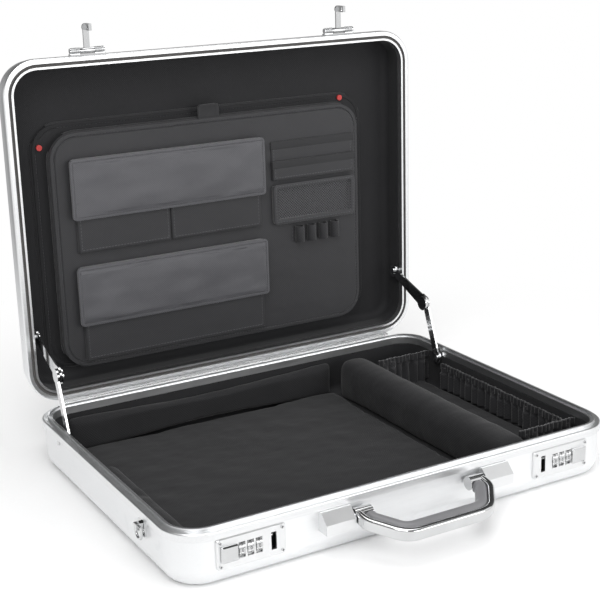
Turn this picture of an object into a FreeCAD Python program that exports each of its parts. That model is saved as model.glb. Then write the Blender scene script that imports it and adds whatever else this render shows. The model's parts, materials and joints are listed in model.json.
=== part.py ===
import FreeCAD, Part
import math
import os
import re
import Sketcher

# An aluminium attache case, shown open: a base tray and a lid tray, each a pressed shell in an
# extruded frame, joined by a long hinge and two folding stays, closed by two combination locks.
# The frame's origin is the centre of the base's underside: +X to the right, +Y to the hinge, +Z up.

# Driving sizes in millimetres, angles in degrees and counts
DIMENSIONS = {
    # Case and shells
    "case_width": 466,
    "case_depth": 348,
    "base_height": 52,
    "lid_height": 36,
    "corner_radius": 35,
    "shell_inset": 2.3,
    "shell_thickness": 1.2,
    "shell_edge_radius": 16,
    "closing_gap": 0.4,
    # Frames, rib, groove and seal
    "frame_width": 10.1,
    "frame_height": 7.5,
    "frame_edge_radius": 1.6,
    "shell_slot_depth": 4.5,
    "groove_start": 4.8,
    "groove_width": 3.2,
    "groove_depth": 4,
    "seal_thickness": 1.2,
    "rib_side_gap": 0.5,
    "rib_top_gap": 0.3,
    # Shared clearances
    "seat_gap": 0.1,
    "soft_gap": 0.3,
    "hole_gap": 0.3,
    "running_gap": 0.05,
    "cut_overrun": 1,
    # Linings
    "liner_thickness": 2,
    # Hinge
    "hinge_offset": 3.2,
    "hinge_end_inset": 32,
    "hinge_barrel_radius": 2.4,
    "hinge_pin_radius": 1.2,
    "hinge_leaf_thickness": 1,
    "hinge_leaf_start": 1.7,
    "hinge_leaf_end": 6.6,
    "hinge_web_start": 1.3,
    "hinge_end_gap": 0.3,
    "hinge_knuckles": 15,
    # Folding stays
    "stay_reach": 73,
    "stay_drop": 11,
    "stay_length": 64,
    "stay_rest_angle": 68.98,
    "stay_thickness": 2,
    "stay_wall_gap": 1.3,
    "stay_link_gap": 0.6,
    "stay_eye_radius": 7.5,
    "stay_knuckle_radius": 9,
    "stay_narrow_width": 9,
    "stay_wide_width": 15,
    "stay_pin_radius": 2.4,
    "stay_slack": 2.3,
    "stay_head_radius": 4.5,
    "stay_rivet_radius": 3,
    "stay_head_height": 1.3,
    "stay_cap_gap": 0.4,
    # Locks
    "lock_inset": 68,
    "lock_drop": 22.3,
    "lock_length": 65,
    "lock_height": 28,
    "lock_corner": 3,
    "lock_plate_thickness": 2.2,
    "lock_case_side": 2.2,
    "lock_case_rise": 11.8,
    "lock_case_fall": 13.7,
    "lock_case_depth": 13.9,
    "lock_case_wall": 1.2,
    "lock_screw_radius": 1.6,
    "lock_screw_height": 0.8,
    "lock_screw_inset": 3.4,
    # Number wheels
    "wheel_shift": 1,
    "wheel_pitch": 8,
    "wheel_radius": 8,
    "wheel_width": 5.6,
    "wheel_proud": 1.6,
    "wheel_side_gap": 0.3,
    "wheel_notch_radius": 0.9,
    "wheel_digits": 10,
    "axle_radius": 1.5,
    "axle_rib": 1,
    "axle_rib_rise": 10.6,
    "axle_rib_fall": 5.7,
    # Lock slide and its catch
    "slide_shift": 21,
    "slide_width": 16,
    "slide_height": 15,
    "slide_thickness": 2.8,
    "slide_bevel": 1.2,
    "slide_lift": 0.3,
    "slide_travel": 3,
    "slide_stem": 6,
    "slide_bar_start": 9,
    "slide_bar_height": 2.5,
    "slide_bar_front": 0.5,
    "slide_bar_depth": 3,
    "slide_post": 3,
    "slide_post_gap": 3,
    "catch_reach": 3.8,
    "catch_height": 1.6,
    "catch_depth": 1.7,
    # Hasps on the lid
    "hasp_shift": 21,
    "hasp_slot_width": 5,
    "hasp_slot_height": 16,
    "hasp_plate_width": 36,
    "hasp_plate_thickness": 1.5,
    "hasp_plate_start": 0.6,
    "hasp_axis_out": 4.6,
    "hasp_axis_rise": 3.9,
    "hasp_barrel_radius": 2.6,
    "hasp_pin_radius": 1.2,
    "hasp_knuckle_half": 7.5,
    "hasp_reach": 26,
    "hasp_width": 6,
    "hasp_thickness": 2,
    "hasp_tip_radius": 3.8,
    "tongue_width": 3,
    "tongue_height": 6.5,
    "tongue_depth": 12,
    "tongue_window_height": 3.4,
    "tongue_window_depth": 3.4,
    "tongue_window_tip": 1.9,
    # Handle and its brackets
    "bracket_gap": 1,
    "bracket_width": 29.5,
    "bracket_height": 18.5,
    "bracket_depth": 14,
    "bracket_nose": 9.5,
    "bracket_ledge": 5,
    "bracket_bore_depth": 16,
    "handle_axis_out": 8,
    "handle_axis_drop": 17,
    "handle_rest_angle": 9,
    "handle_half_width": 60.5,
    "handle_reach": 41,
    "handle_leg": 9,
    "handle_leg_angle": 35,
    "handle_neck_bend": 14,
    "handle_bend": 18,
    "handle_depth": 17,
    "handle_height": 12,
    "handle_rail_depth": 6.4,
    "handle_rail_round": 2.6,
    "handle_hub_radius": 6.5,
    "handle_hub_half": 8.5,
    "handle_trunnion_radius": 3,
    "handle_trunnion_length": 15,
    "grip_inset": 7.6,
    "grip_height": 12.8,
    "grip_round": 4.6,
    # Shoulder strap lugs and rings
    "lug_inset": 73,
    "lug_drop": 14.5,
    "lug_width": 13,
    "lug_height": 16,
    "lug_thickness": 1.6,
    "lug_corner": 3,
    "lug_block": 6,
    "ring_wire_radius": 1.3,
    "ring_radius": 6.2,
    "ring_leg": 5.5,
    # Feet on the hinge side
    "foot_inset": 83,
    "foot_radius": 8,
    "foot_tip_radius": 6.5,
    "foot_height": 8.6,
    "foot_drop": 27,
    "lid_foot_rise": 20,
    # Padding in the base
    "side_pad_width": 17.5,
    "side_pad_drop": 4,
    "side_pad_low_drop": 24,
    "side_pad_split": 20,
    "front_pad_width": 13.4,
    "front_pad_drop": 4,
    "rear_pad_width": 13.4,
    "rear_pad_drop": 6,
    "accessory_width": 70.9,
    "divider_width": 40,
    "divider_drop": 2.5,
    "floor_pad_thickness": 8.6,
    "accessory_pad_thickness": 5,
    "pad_edge": 4,
    "pad_corner": 5,
    "divider_edge": 13,
    # Gathered pouches in the accessory bay
    "pouch_rear_room": 39.9,
    "pouch_front_room": 37.9,
    "pouch_drop": 8,
    "pouch_thickness": 2.2,
    "pouch_fold": 2.6,
    "pouch_folds": 6,
    # Organiser in the lid: places are depths from the lid's mouth, or across and along the lid
    "organiser_x": -8,
    "panel_side_room": 106,
    "panel_top_room": 65.9,
    "panel_bottom_room": 15.9,
    "panel_corner": 28,
    "panel_depth": 13,
    "panel_thickness": 6,
    "panel_edge": 2.4,
    "back_panel_margin": 13,
    "back_panel_rise": 8,
    "back_panel_fall": 2,
    "back_panel_thickness": 4,
    "gusset_fold": 9,
    "gusset_thickness": 0.9,
    "gusset_inset": 3,
    "gusset_folds": 4,
    "pocket_wall": 1.2,
    "pocket_depth": 6,
    "pocket_inset": 22,
    "pocket_gap": 16,
    "pocket_drop": 36,
    "pocket_foot": 8,
    "flap_overhang": 5,
    "flap_height": 62,
    "flap_rise": 10,
    "flap_thickness": 3,
    "flap_gap": 0.6,
    "flap_corner": 4,
    "flap_fold": 2,
    "flap_axis_lift": 1.6,
    "card_width": 104,
    "card_inset": 8,
    "card_drop": 34,
    "card_step": 21,
    "card_layer": 2.8,
    "card_slot": 1.5,
    "card_hem": 2,
    "mesh_gap": 4,
    "mesh_height": 45,
    "mesh_trim": 5,
    "mesh_depth": 6.6,
    "mesh_trim_thickness": 2,
    "mesh_net_thickness": 0.8,
    "mesh_thread": 1.1,
    "mesh_columns": 18,
    "mesh_rows": 7,
    "pen_loop_inset": 32,
    "pen_loop_pitch": 15,
    "pen_loops": 4,
    "pen_loop_radius": 5,
    "pen_loop_thickness": 0.8,
    "pen_loop_gap": 5,
    "pen_loop_height": 18,
    "pen_strip_margin": 8,
    "stud_left_inset": 8,
    "stud_left_drop": 22,
    "stud_right_inset": 14,
    "stud_right_drop": 4,
    "stud_radius": 3,
    "stud_height": 2,
}

# Places worked out from the driving sizes
PLACES = {
    "half_width": "case_width / 2",
    "half_depth": "case_depth / 2",
    "rim": "base_height",
    "lid_rim": "base_height + closing_gap",
    "lid_top": "lid_rim + lid_height",
    "hinge_y": "half_depth + hinge_offset",
    "hinge_length": "case_width - 2 * hinge_end_inset",
    "hinge_z": "base_height + closing_gap / 2",
    "wall_front": "shell_inset - half_depth",
    "wall_rear": "half_depth - shell_inset",
    "wall_side": "half_width - shell_inset",
    "inner_x": "half_width - frame_width",
    "inner_y": "half_depth - frame_width",
    "liner_floor": "shell_thickness + liner_thickness",
    "liner_edge": "shell_edge_radius + shell_inset - frame_width + liner_thickness",
    "pad_floor": "liner_floor + soft_gap",
    "rib_height": "groove_depth - seal_thickness + closing_gap - rib_top_gap",
    "lock_x": "half_width - lock_inset",
    "wheel_x": "lock_x + wheel_shift",
    "slide_x": "lock_x + slide_shift",
    "hasp_x": "lock_x - hasp_shift",
    "lock_z": "rim - lock_drop",
    "lock_front": "wall_front - lock_plate_thickness",
    "lock_near": "lock_x - lock_length / 2",
    "lock_far": "lock_x + lock_length / 2",
    "case_near": "lock_near + lock_case_side",
    "case_far": "lock_far - lock_case_side",
    "case_back": "wall_front + lock_case_depth",
    "wheel_y": "lock_front - wheel_proud + wheel_radius",
    "wheels_near": "wheel_x - wheel_pitch - wheel_width / 2 - wheel_side_gap",
    "wheels_far": "wheel_x + wheel_pitch + wheel_width / 2 + wheel_side_gap",
    "slide_bar_top": "lock_z - slide_bar_start",
    "slide_bar_y": "wall_front + slide_bar_front",
    "post_near": "hasp_x + slide_post_gap",
    "hasp_y": "-(half_depth + hasp_axis_out)",
    "hasp_z": "lid_rim + hasp_axis_rise",
    "tongue_top": "tongue_height - hasp_reach",
    "catch_z": "hasp_z - hasp_reach + tongue_height / 2",
    "catch_y": "hasp_y + hasp_thickness / 2 + tongue_depth - tongue_window_tip - tongue_window_depth / 2",
    "bracket_near": "handle_half_width + handle_hub_half + bracket_gap",
    "handle_y": "wall_front - handle_axis_out",
    "handle_z": "rim - handle_axis_drop",
    "stay_y": "hinge_y - stay_reach",
    "stay_base_z": "hinge_z - stay_drop",
    "stay_lid_z": "hinge_z + stay_drop",
    "lower_out": "inner_x - stay_wall_gap",
    "lower_in": "lower_out - stay_thickness",
    "upper_out": "lower_in - stay_link_gap",
    "upper_in": "upper_out - stay_thickness",
    "cap_out": "upper_in - stay_cap_gap",
    "cap_in": "cap_out - stay_head_height",
    "foot_x": "half_width - foot_inset",
    "lug_y": "lug_inset - half_depth",
    "lug_z": "rim - lug_drop",
    "ring_x": "wall_side + lug_thickness + lug_block / 2",
    "bay_left": "side_pad_width - inner_x",
    "bay_front": "front_pad_width - inner_y",
    "bay_rear": "inner_y - rear_pad_width",
    "divider_right": "inner_x - accessory_width",
    "divider_left": "divider_right - divider_width",
    "pouch_rear_y": "inner_y - pouch_rear_room",
    "pouch_front_y": "pouch_front_room - inner_y",
    "panel_width": "case_width - panel_side_room",
    "panel_left": "organiser_x - panel_width / 2",
    "panel_right": "organiser_x + panel_width / 2",
    "panel_top": "panel_top_room - inner_y",
    "panel_bottom": "inner_y - panel_bottom_room",
    "back_panel_width": "panel_width + 2 * back_panel_margin",
    "back_panel_top": "panel_top - back_panel_rise",
    "back_panel_bottom": "panel_bottom + back_panel_fall",
    "card_right": "panel_right - card_inset",
    "card_left": "card_right - card_width",
    "card_top": "panel_top + card_drop",
    "card_bottom": "card_top + 2 * card_step",
    "mesh_top": "card_bottom + mesh_gap",
    "mesh_bottom": "mesh_top + mesh_height",
    "pen_loop_top": "mesh_bottom + pen_loop_gap",
    "pen_loop_first": "card_left + pen_loop_inset",
    "pocket_left": "panel_left + pocket_inset",
    "pocket_right": "card_left - pocket_gap",
    "pocket_split": "pocket_left + 0.49 * (pocket_right - pocket_left)",
    "upper_pocket_top": "panel_top + pocket_drop",
    "upper_pocket_bottom": "panel_top + 0.5 * (panel_bottom - panel_top)",
    "lower_pocket_top": "panel_top + 0.6 * (panel_bottom - panel_top)",
    "lower_pocket_bottom": "panel_bottom - pocket_foot",
    "stud_left": "panel_left - back_panel_margin + stud_left_inset",
    "stud_left_along": "back_panel_top + stud_left_drop",
    "stud_right": "panel_right - stud_right_inset",
    "stud_right_along": "back_panel_top + stud_right_drop",
    "panel_z": "lid_rim + panel_depth",
    "panel_back_z": "panel_z + panel_thickness",
    "lid_floor": "lid_top - shell_thickness - liner_thickness",
    "back_panel_z": "lid_floor - soft_gap - back_panel_thickness",
    "pocket_z": "panel_z - pocket_depth",
    "flap_z": "pocket_z - flap_gap - flap_thickness",
    "upper_flap_top": "upper_pocket_top - flap_rise",
    "lower_flap_top": "lower_pocket_top - flap_rise",
}

# Heights and insets of a padded form, as shares of its thickness and its edge softness
PAD_HEIGHT_SHARES = (0, 0.15, 0.4, 0.65, 0.82, 0.93)
PAD_INSET_SHARES = (0.35, 0.12, 0, 0.1, 0.35, 0.8)
PAD_CROWN_SHARE = 0.4
PAD_CORNER_SHARE = 0.45

SIDES = (("left", -1), ("right", 1))
QUARTER = 90

doc = FreeCAD.newDocument("attache_case")
dims = doc.addObject("Spreadsheet::Sheet", "dims")
for row, (alias, number) in enumerate(DIMENSIONS.items(), start=1):
    dims.set("A%d" % row, alias)
    dims.set("B%d" % row, str(number))
    dims.setAlias("B%d" % row, alias)
doc.recompute()

pieces = []


# Formulas and placing

def bound(text):
    """A formula in plain names, turned into one on the sheet's cells."""
    def cell(match):
        name = match.group(0)
        if name in PLACES:
            return "(" + bound(PLACES[name]) + ")"
        return "dims." + name if name in DIMENSIONS else name
    return re.sub(r"[a-z][a-z_0-9]*", cell, text)


def size(text):
    """The value of a formula, for shapes that are built point by point."""
    return float(dims.evalExpression(bound(text)))


def across(sign, near, far):
    """The low and high X of a piece between two distances from the middle plane."""
    return (near, far) if sign > 0 else ("-(%s)" % far, "-(%s)" % near)


def turned_on_lid(degrees=0, y="0", z="0"):
    """The place of a piece on the open lid, from its turn and place on the closed lid."""
    turn = FreeCAD.Rotation(FreeCAD.Vector(1, 0, 0), degrees - QUARTER)
    base_y = size("hinge_y - hinge_z + %s" % z)
    base_z = size("hinge_y + hinge_z - (%s)" % y)
    return FreeCAD.Placement(FreeCAD.Vector(0, base_y, base_z), turn)


def on_lid(piece, degrees=0, y="0", z="0"):
    """Stands a piece, drawn in the closed lid, on the open lid."""
    piece.Placement = turned_on_lid(degrees, y, z)
    piece.setExpression("Placement.Base.y", bound("hinge_y - hinge_z + %s" % z))
    piece.setExpression("Placement.Base.z", bound("hinge_y + hinge_z - (%s)" % y))
    return piece


def named(piece, label):
    """Gives a piece its own name and puts it on the list of pieces."""
    piece.Label = label
    pieces.append(piece)
    return piece


# Sketches and features

def start_sketch(body, plane, center, level):
    """A sketch on one of a body's own planes, with its origin at the profile's centre."""
    sketch = body.newObject("Sketcher::SketchObject", body.Name + "_sketch")
    support = [item for item in body.Origin.OriginFeatures if item.Role == plane + "_Plane"]
    sketch.AttachmentSupport = [(support[0], "")]
    sketch.MapMode = "FlatFace"
    for axis, formula in zip("xyz", (center[0], center[1], level)):
        sketch.setExpression("AttachmentOffset.Base." + axis, bound(formula))
    return sketch


def set_size(sketch, constraint, formula):
    """Adds a dimension to a sketch and binds it to the sheet."""
    index = sketch.addConstraint(constraint)
    sketch.setExpression("Constraints[%d]" % index, bound(formula))


def rounded(width, height, radius):
    """A rounded rectangle about the sketch's origin."""
    def draw(sketch):
        x = size(width) / 2
        y = size(height) / 2
        r = size(radius)
        corners = ((x - r, r - y), (x - r, y - r), (r - x, y - r), (r - x, r - y))
        sides = (((r - x, -y), (x - r, -y)), ((x, r - y), (x, y - r)),
                 ((x - r, y), (r - x, y)), ((-x, y - r), (-x, r - y)))
        first = sketch.GeometryCount
        for start, end in sides:
            sketch.addGeometry(Part.LineSegment(FreeCAD.Vector(*start, 0), FreeCAD.Vector(*end, 0)))
        for index, middle in enumerate(corners):
            circle = Part.Circle(FreeCAD.Vector(*middle, 0), FreeCAD.Vector(0, 0, 1), r)
            begin = (index - 1) * math.pi / 2
            sketch.addGeometry(Part.ArcOfCircle(circle, begin, begin + math.pi / 2))
        for index in range(4):
            following = first + (index + 1) % 4
            sketch.addConstraint(Sketcher.Constraint("Tangent", first + index, 2, first + 4 + index, 1))
            sketch.addConstraint(Sketcher.Constraint("Tangent", first + 4 + index, 2, following, 1))
            level = "Vertical" if index % 2 else "Horizontal"
            sketch.addConstraint(Sketcher.Constraint(level, first + index))
        for index in (5, 6, 7):
            sketch.addConstraint(Sketcher.Constraint("Equal", first + 4, first + index))
        sketch.addConstraint(Sketcher.Constraint("Symmetric", first + 4, 3, first + 6, 3, -1, 1))
        set_size(sketch, Sketcher.Constraint("DistanceX", first + 3, 1, first + 1, 1, 2 * x), width)
        set_size(sketch, Sketcher.Constraint("DistanceY", first, 1, first + 2, 1, 2 * y), height)
        set_size(sketch, Sketcher.Constraint("Radius", first + 4, r), radius)
    return draw


def square(width, height):
    """A plain rectangle about the sketch's origin."""
    def draw(sketch):
        x = size(width) / 2
        y = size(height) / 2
        corners = [FreeCAD.Vector(*point, 0) for point in ((-x, -y), (x, -y), (x, y), (-x, y))]
        for index in range(4):
            sketch.addGeometry(Part.LineSegment(corners[index], corners[(index + 1) % 4]))
        for index in range(4):
            sketch.addConstraint(Sketcher.Constraint("Coincident", index, 2, (index + 1) % 4, 1))
            level = "Vertical" if index % 2 else "Horizontal"
            sketch.addConstraint(Sketcher.Constraint(level, index))
        sketch.addConstraint(Sketcher.Constraint("Symmetric", 0, 1, 2, 1, -1, 1))
        set_size(sketch, Sketcher.Constraint("DistanceX", 0, 1, 0, 2, 2 * x), width)
        set_size(sketch, Sketcher.Constraint("DistanceY", 1, 1, 1, 2, 2 * y), height)
    return draw


def disc(radius):
    """A circle about the sketch's origin."""
    def draw(sketch):
        circle = Part.Circle(FreeCAD.Vector(0, 0, 0), FreeCAD.Vector(0, 0, 1), size(radius))
        index = sketch.addGeometry(circle)
        sketch.addConstraint(Sketcher.Constraint("Coincident", index, 3, -1, 1))
        set_size(sketch, Sketcher.Constraint("Radius", index, size(radius)), radius)
    return draw


def outline(points):
    """A closed outline through points given as formulas from the sketch's origin."""
    def draw(sketch):
        spots = [FreeCAD.Vector(size(u), size(v), 0) for u, v in points]
        count = len(spots)
        for index in range(count):
            sketch.addGeometry(Part.LineSegment(spots[index], spots[(index + 1) % count]))
        for index, (u, v) in enumerate(points):
            sketch.addConstraint(Sketcher.Constraint("Coincident", index, 2, (index + 1) % count, 1))
            for kind, axis, formula in (("DistanceX", -2, u), ("DistanceY", -1, v)):
                if formula == "0":
                    sketch.addConstraint(Sketcher.Constraint("PointOnObject", index, 1, axis))
                else:
                    place = Sketcher.Constraint(kind, -1, 1, index, 1, size(formula))
                    set_size(sketch, place, formula)
    return draw


def ring(outer, inner):
    """Two concentric profiles, the band between an outer and an inner outline."""
    def draw(sketch):
        outer(sketch)
        inner(sketch)
    return draw


def new_body(label):
    """An empty body."""
    body = doc.addObject("PartDesign::Body", label)
    body.Label = label
    return body


def extrude(body, plane, profile, center, span, cut=False):
    """Adds or cuts a profile between two levels across its plane."""
    low, high = span
    if plane == "XZ":
        low, high = "-(%s)" % high, "-(%s)" % low
    sketch = start_sketch(body, plane, center, high if cut else low)
    profile(sketch)
    doc.recompute()
    before = body.Shape.Volume if cut else 0
    kind = "PartDesign::Pocket" if cut else "PartDesign::Pad"
    feature = body.newObject(kind, body.Name + ("_cut" if cut else "_pad"))
    feature.Profile = sketch
    feature.setExpression("Length", bound("(%s) - (%s)" % (high, low)))
    doc.recompute()
    if cut and body.Shape.Volume >= before:
        raise ValueError("a cut in %s removes nothing" % body.Label)
    return feature


def cut(body, plane, profile, center, span):
    """Cuts a profile between two levels across its plane."""
    return extrude(body, plane, profile, center, span, cut=True)


def round_edges(body, base, chosen, radius, kind="PartDesign::Fillet"):
    """Rounds or bevels the edges that a test picks."""
    edges = base.Shape.Edges
    names = ["Edge%d" % (index + 1) for index, edge in enumerate(edges) if chosen(edge)]
    feature = body.newObject(kind, body.Name + "_edge")
    feature.Base = (base, names)
    feature.setExpression("Radius" if kind.endswith("Fillet") else "Size", bound(radius))
    doc.recompute()
    return feature


def at_level(axis, formula):
    """A test for edges that lie at one level along an axis."""
    level = size(formula)

    def chosen(edge):
        box = edge.BoundBox
        low = getattr(box, axis + "Min")
        high = getattr(box, axis + "Max")
        return max(abs(low - level), abs(high - level)) < Part.Precision.approximation() * 100
    return chosen


def group(label, members):
    """Several separate solids of one kind under one name."""
    bundle = doc.addObject("Part::Compound", label)
    bundle.Links = members
    return named(bundle, label)


# Shells, frames and linings

def plan(inset):
    """The case's rounded plan, drawn in from the frame's outer face."""
    return rounded("case_width - 2 * (%s)" % inset, "case_depth - 2 * (%s)" % inset,
                   "corner_radius - (%s)" % inset)


def pressed_tray(label, inset, thickness, edge_radius, floor, mouth):
    """A thin tray with a rounded bottom edge. The floor may lie below or above the mouth."""
    body = new_body(label)
    opens_up = size(mouth) > size(floor)
    span = (floor, mouth) if opens_up else (mouth, floor)
    block = extrude(body, "XY", plan(inset), ("0", "0"), span)
    edged = round_edges(body, block, at_level("Z", floor), edge_radius)
    mouth_level = size(mouth)
    faces = edged.Shape.Faces
    heights = [abs(face.CenterOfMass.z - mouth_level) for face in faces]
    hollow = body.newObject("PartDesign::Thickness", label + "_wall")
    hollow.Base = (edged, ["Face%d" % (heights.index(min(heights)) + 1)])
    hollow.Reversed = True
    hollow.setExpression("Value", bound(thickness))
    doc.recompute()
    return body


def cut_stay_holes(body, height):
    """Holes in both side walls for the stays' pivot pins."""
    reach = "half_width + cut_overrun"
    cut(body, "YZ", disc("stay_pin_radius + hole_gap"), ("stay_y", height), ("-(%s)" % reach, reach))


def cut_lock_windows(body):
    """Windows in the front wall for the two lock cases."""
    width = "case_far - case_near + 2 * hole_gap"
    height = "lock_case_rise + lock_case_fall + 2 * hole_gap"
    middle = "lock_z + (lock_case_rise - lock_case_fall) / 2"
    span = ("-(half_depth + cut_overrun)", "case_back + hole_gap")
    for _, sign in SIDES:
        cut(body, "XZ", square(width, height), ("%d * lock_x" % sign, middle), span)


def make_base_shell():
    mouth = "rim - frame_height + shell_slot_depth"
    body = pressed_tray("base_shell", "shell_inset", "shell_thickness", "shell_edge_radius", "0", mouth)
    cut_lock_windows(body)
    cut_stay_holes(body, "stay_base_z")
    return named(body, "base_shell")


def make_lid_shell():
    mouth = "lid_rim + frame_height - shell_slot_depth"
    body = pressed_tray("lid_shell", "shell_inset", "shell_thickness", "shell_edge_radius", "lid_top", mouth)
    cut_stay_holes(body, "stay_lid_z")
    return on_lid(named(body, "lid_shell"))


def make_base_liner():
    body = pressed_tray("base_liner", "frame_width - liner_thickness", "liner_thickness", "liner_edge",
                        "shell_thickness", "rim - frame_height")
    cut_lock_windows(body)
    cut_stay_holes(body, "stay_base_z")
    return named(body, "base_liner")


def make_lid_liner():
    body = pressed_tray("lid_liner", "frame_width - liner_thickness", "liner_thickness", "liner_edge",
                        "lid_top - shell_thickness", "lid_rim + frame_height")
    cut_stay_holes(body, "stay_lid_z")
    return on_lid(named(body, "lid_liner"))


def frame_band(body, land, far):
    """The plain band of a frame, with its outer edge rounded at the mouth."""
    span = (far, land) if size(land) > size(far) else (land, far)
    band = extrude(body, "XY", ring(plan("0"), plan("frame_width")), ("0", "0"), span)
    at_land = at_level("Z", land)
    half_width = size("half_width")
    half_depth = size("half_depth")
    radius = size("corner_radius")

    def outer(edge):
        if not at_land(edge):
            return False
        if edge.Curve.TypeId == "Part::GeomCircle":
            return abs(edge.Curve.Radius - radius) < Part.Precision.approximation()
        middle = edge.CenterOfMass
        return abs(middle.x) > half_width - size("seat_gap") or abs(middle.y) > half_depth - size("seat_gap")
    round_edges(body, band, outer, "frame_edge_radius")


def cut_shell_slot(body, span):
    """The slot that grips the shell's edge."""
    profile = ring(plan("shell_inset - seat_gap"), plan("shell_inset + shell_thickness + seat_gap"))
    cut(body, "XY", profile, ("0", "0"), span)


def make_base_frame():
    body = new_body("base_frame")
    frame_band(body, "rim", "rim - frame_height")
    rib = ring(plan("groove_start + rib_side_gap"), plan("groove_start + groove_width - rib_side_gap"))
    extrude(body, "XY", rib, ("0", "0"), ("rim", "rim + rib_height"))
    cut_shell_slot(body, ("rim - frame_height", "rim - frame_height + shell_slot_depth"))
    return named(body, "base_frame")


def make_lid_frame():
    body = new_body("lid_frame")
    frame_band(body, "lid_rim", "lid_rim + frame_height")
    groove = ring(plan("groove_start"), plan("groove_start + groove_width"))
    cut(body, "XY", groove, ("0", "0"), ("lid_rim", "lid_rim + groove_depth"))
    cut_shell_slot(body, ("lid_rim + frame_height - shell_slot_depth", "lid_rim + frame_height"))
    return on_lid(named(body, "lid_frame"))


def make_lid_seal():
    body = new_body("lid_seal")
    band = ring(plan("groove_start + seat_gap"), plan("groove_start + groove_width - seat_gap"))
    span = ("lid_rim + groove_depth - seal_thickness", "lid_rim + groove_depth")
    extrude(body, "XY", band, ("0", "0"), span)
    return on_lid(named(body, "lid_seal"))


# Hinge

def hinge_leaf(label, first, count, side):
    """A leaf with its share of the barrel's knuckles. Side is 1 for the lid's leaf above the axis."""
    body = new_body(label)
    middle_y = "half_depth + hinge_leaf_thickness / 2"
    levels = ["hinge_z + %d * hinge_leaf_start" % side, "hinge_z + %d * hinge_leaf_end" % side]
    span_x = ("-hinge_length / 2", "hinge_length / 2")
    middle_z = "((%s) + (%s)) / 2" % tuple(levels)
    extrude(body, "YZ", square("hinge_leaf_thickness", "hinge_leaf_end - hinge_leaf_start"),
            (middle_y, middle_z), span_x)
    pitch = "hinge_length / hinge_knuckles"
    start = "hinge_length * (%d / hinge_knuckles - 1 / 2)" % first
    span = (start + " + hinge_end_gap / 2", start + " + %s - hinge_end_gap / 2" % pitch)
    barrel = extrude(body, "YZ", disc("hinge_barrel_radius"), ("hinge_y", "hinge_z"), span)
    web_high = "hinge_leaf_start + hinge_leaf_thickness"
    web_y = "half_depth + hinge_offset / 2"
    web_z = "hinge_z + %d * (hinge_web_start + %s) / 2" % (side, web_high)
    web = extrude(body, "YZ", square("hinge_offset", web_high + " - hinge_web_start"), (web_y, web_z), span)
    row = body.newObject("PartDesign::LinearPattern", label + "_row")
    row.Originals = [barrel, web]
    row.Direction = (barrel.Profile[0], ["N_Axis"])
    row.setExpression("Length", bound("2 * (%d - 1) * %s" % (count, pitch)))
    row.Occurrences = count
    body.Tip = row
    doc.recompute()
    cut(body, "YZ", disc("hinge_pin_radius + running_gap"), ("hinge_y", "hinge_z"), span_x)
    return named(body, label)


def make_hinge():
    knuckles = int(size("hinge_knuckles"))
    hinge_leaf("hinge_base_leaf", 0, (knuckles + 1) // 2, -1)
    on_lid(hinge_leaf("hinge_lid_leaf", 1, knuckles // 2, 1))
    pin = new_body("hinge_pin")
    span = ("-hinge_length / 2", "hinge_length / 2")
    extrude(pin, "YZ", disc("hinge_pin_radius"), ("hinge_y", "hinge_z"), span)
    named(pin, "hinge_pin")


# Folding stays, drawn along +Y from their pivots

def stay_link(label, sign, near, far, pivot_width, knuckle_width, knuckle_radius):
    """A flat link with a round eye at each end."""
    body = new_body(label)
    span = across(sign, near, far)
    sides = (("0", "-(%s) / 2" % pivot_width), ("stay_length", "-(%s) / 2" % knuckle_width),
             ("stay_length", "(%s) / 2" % knuckle_width), ("0", "(%s) / 2" % pivot_width))
    extrude(body, "YZ", outline(sides), ("0", "0"), span)
    extrude(body, "YZ", disc("stay_eye_radius"), ("0", "0"), span)
    extrude(body, "YZ", disc(knuckle_radius), ("stay_length", "0"), span)
    cut(body, "YZ", disc("stay_pin_radius + running_gap"), ("0", "0"), span)
    return body


def make_stays():
    for side, sign in SIDES:
        lower = stay_link("stay_lower_" + side, sign, "lower_in", "lower_out",
                          "stay_narrow_width", "stay_narrow_width", "stay_eye_radius")
        extrude(lower, "YZ", disc("stay_pin_radius"), ("stay_length", "0"),
                across(sign, "cap_in", "lower_out"))
        extrude(lower, "YZ", disc("stay_knuckle_radius - stay_link_gap"), ("stay_length", "0"),
                across(sign, "cap_in", "cap_out"))
        turn = FreeCAD.Rotation(FreeCAD.Vector(1, 0, 0), size("stay_rest_angle"))
        lower.Placement = FreeCAD.Placement(FreeCAD.Vector(), turn)
        lower.setExpression("Placement.Base.y", bound("stay_y"))
        lower.setExpression("Placement.Base.z", bound("stay_base_z"))
        named(lower, "stay_lower_" + side)
        upper = stay_link("stay_upper_" + side, sign, "upper_in", "upper_out",
                          "stay_narrow_width", "stay_wide_width", "stay_knuckle_radius")
        cut(upper, "YZ", disc("stay_pin_radius + stay_slack"), ("stay_length", "0"),
            across(sign, "upper_in", "upper_out"))
        on_lid(upper, -size("stay_rest_angle"), "stay_y", "stay_lid_z")
        named(upper, "stay_upper_" + side)


def stay_pin(label, sign, height, link_in):
    """A headed pivot pin through the wall, the lining and a stay's eye."""
    body = new_body(label)
    inner = "%s - stay_cap_gap - stay_head_height" % link_in
    place = ("stay_y", height)
    extrude(body, "YZ", disc("stay_pin_radius"), place, across(sign, inner, "wall_side + stay_head_height"))
    rivet = across(sign, "wall_side", "wall_side + stay_head_height")
    extrude(body, "YZ", disc("stay_rivet_radius"), place, rivet)
    extrude(body, "YZ", disc("stay_head_radius"), place, across(sign, inner, "%s - stay_cap_gap" % link_in))
    return body


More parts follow.
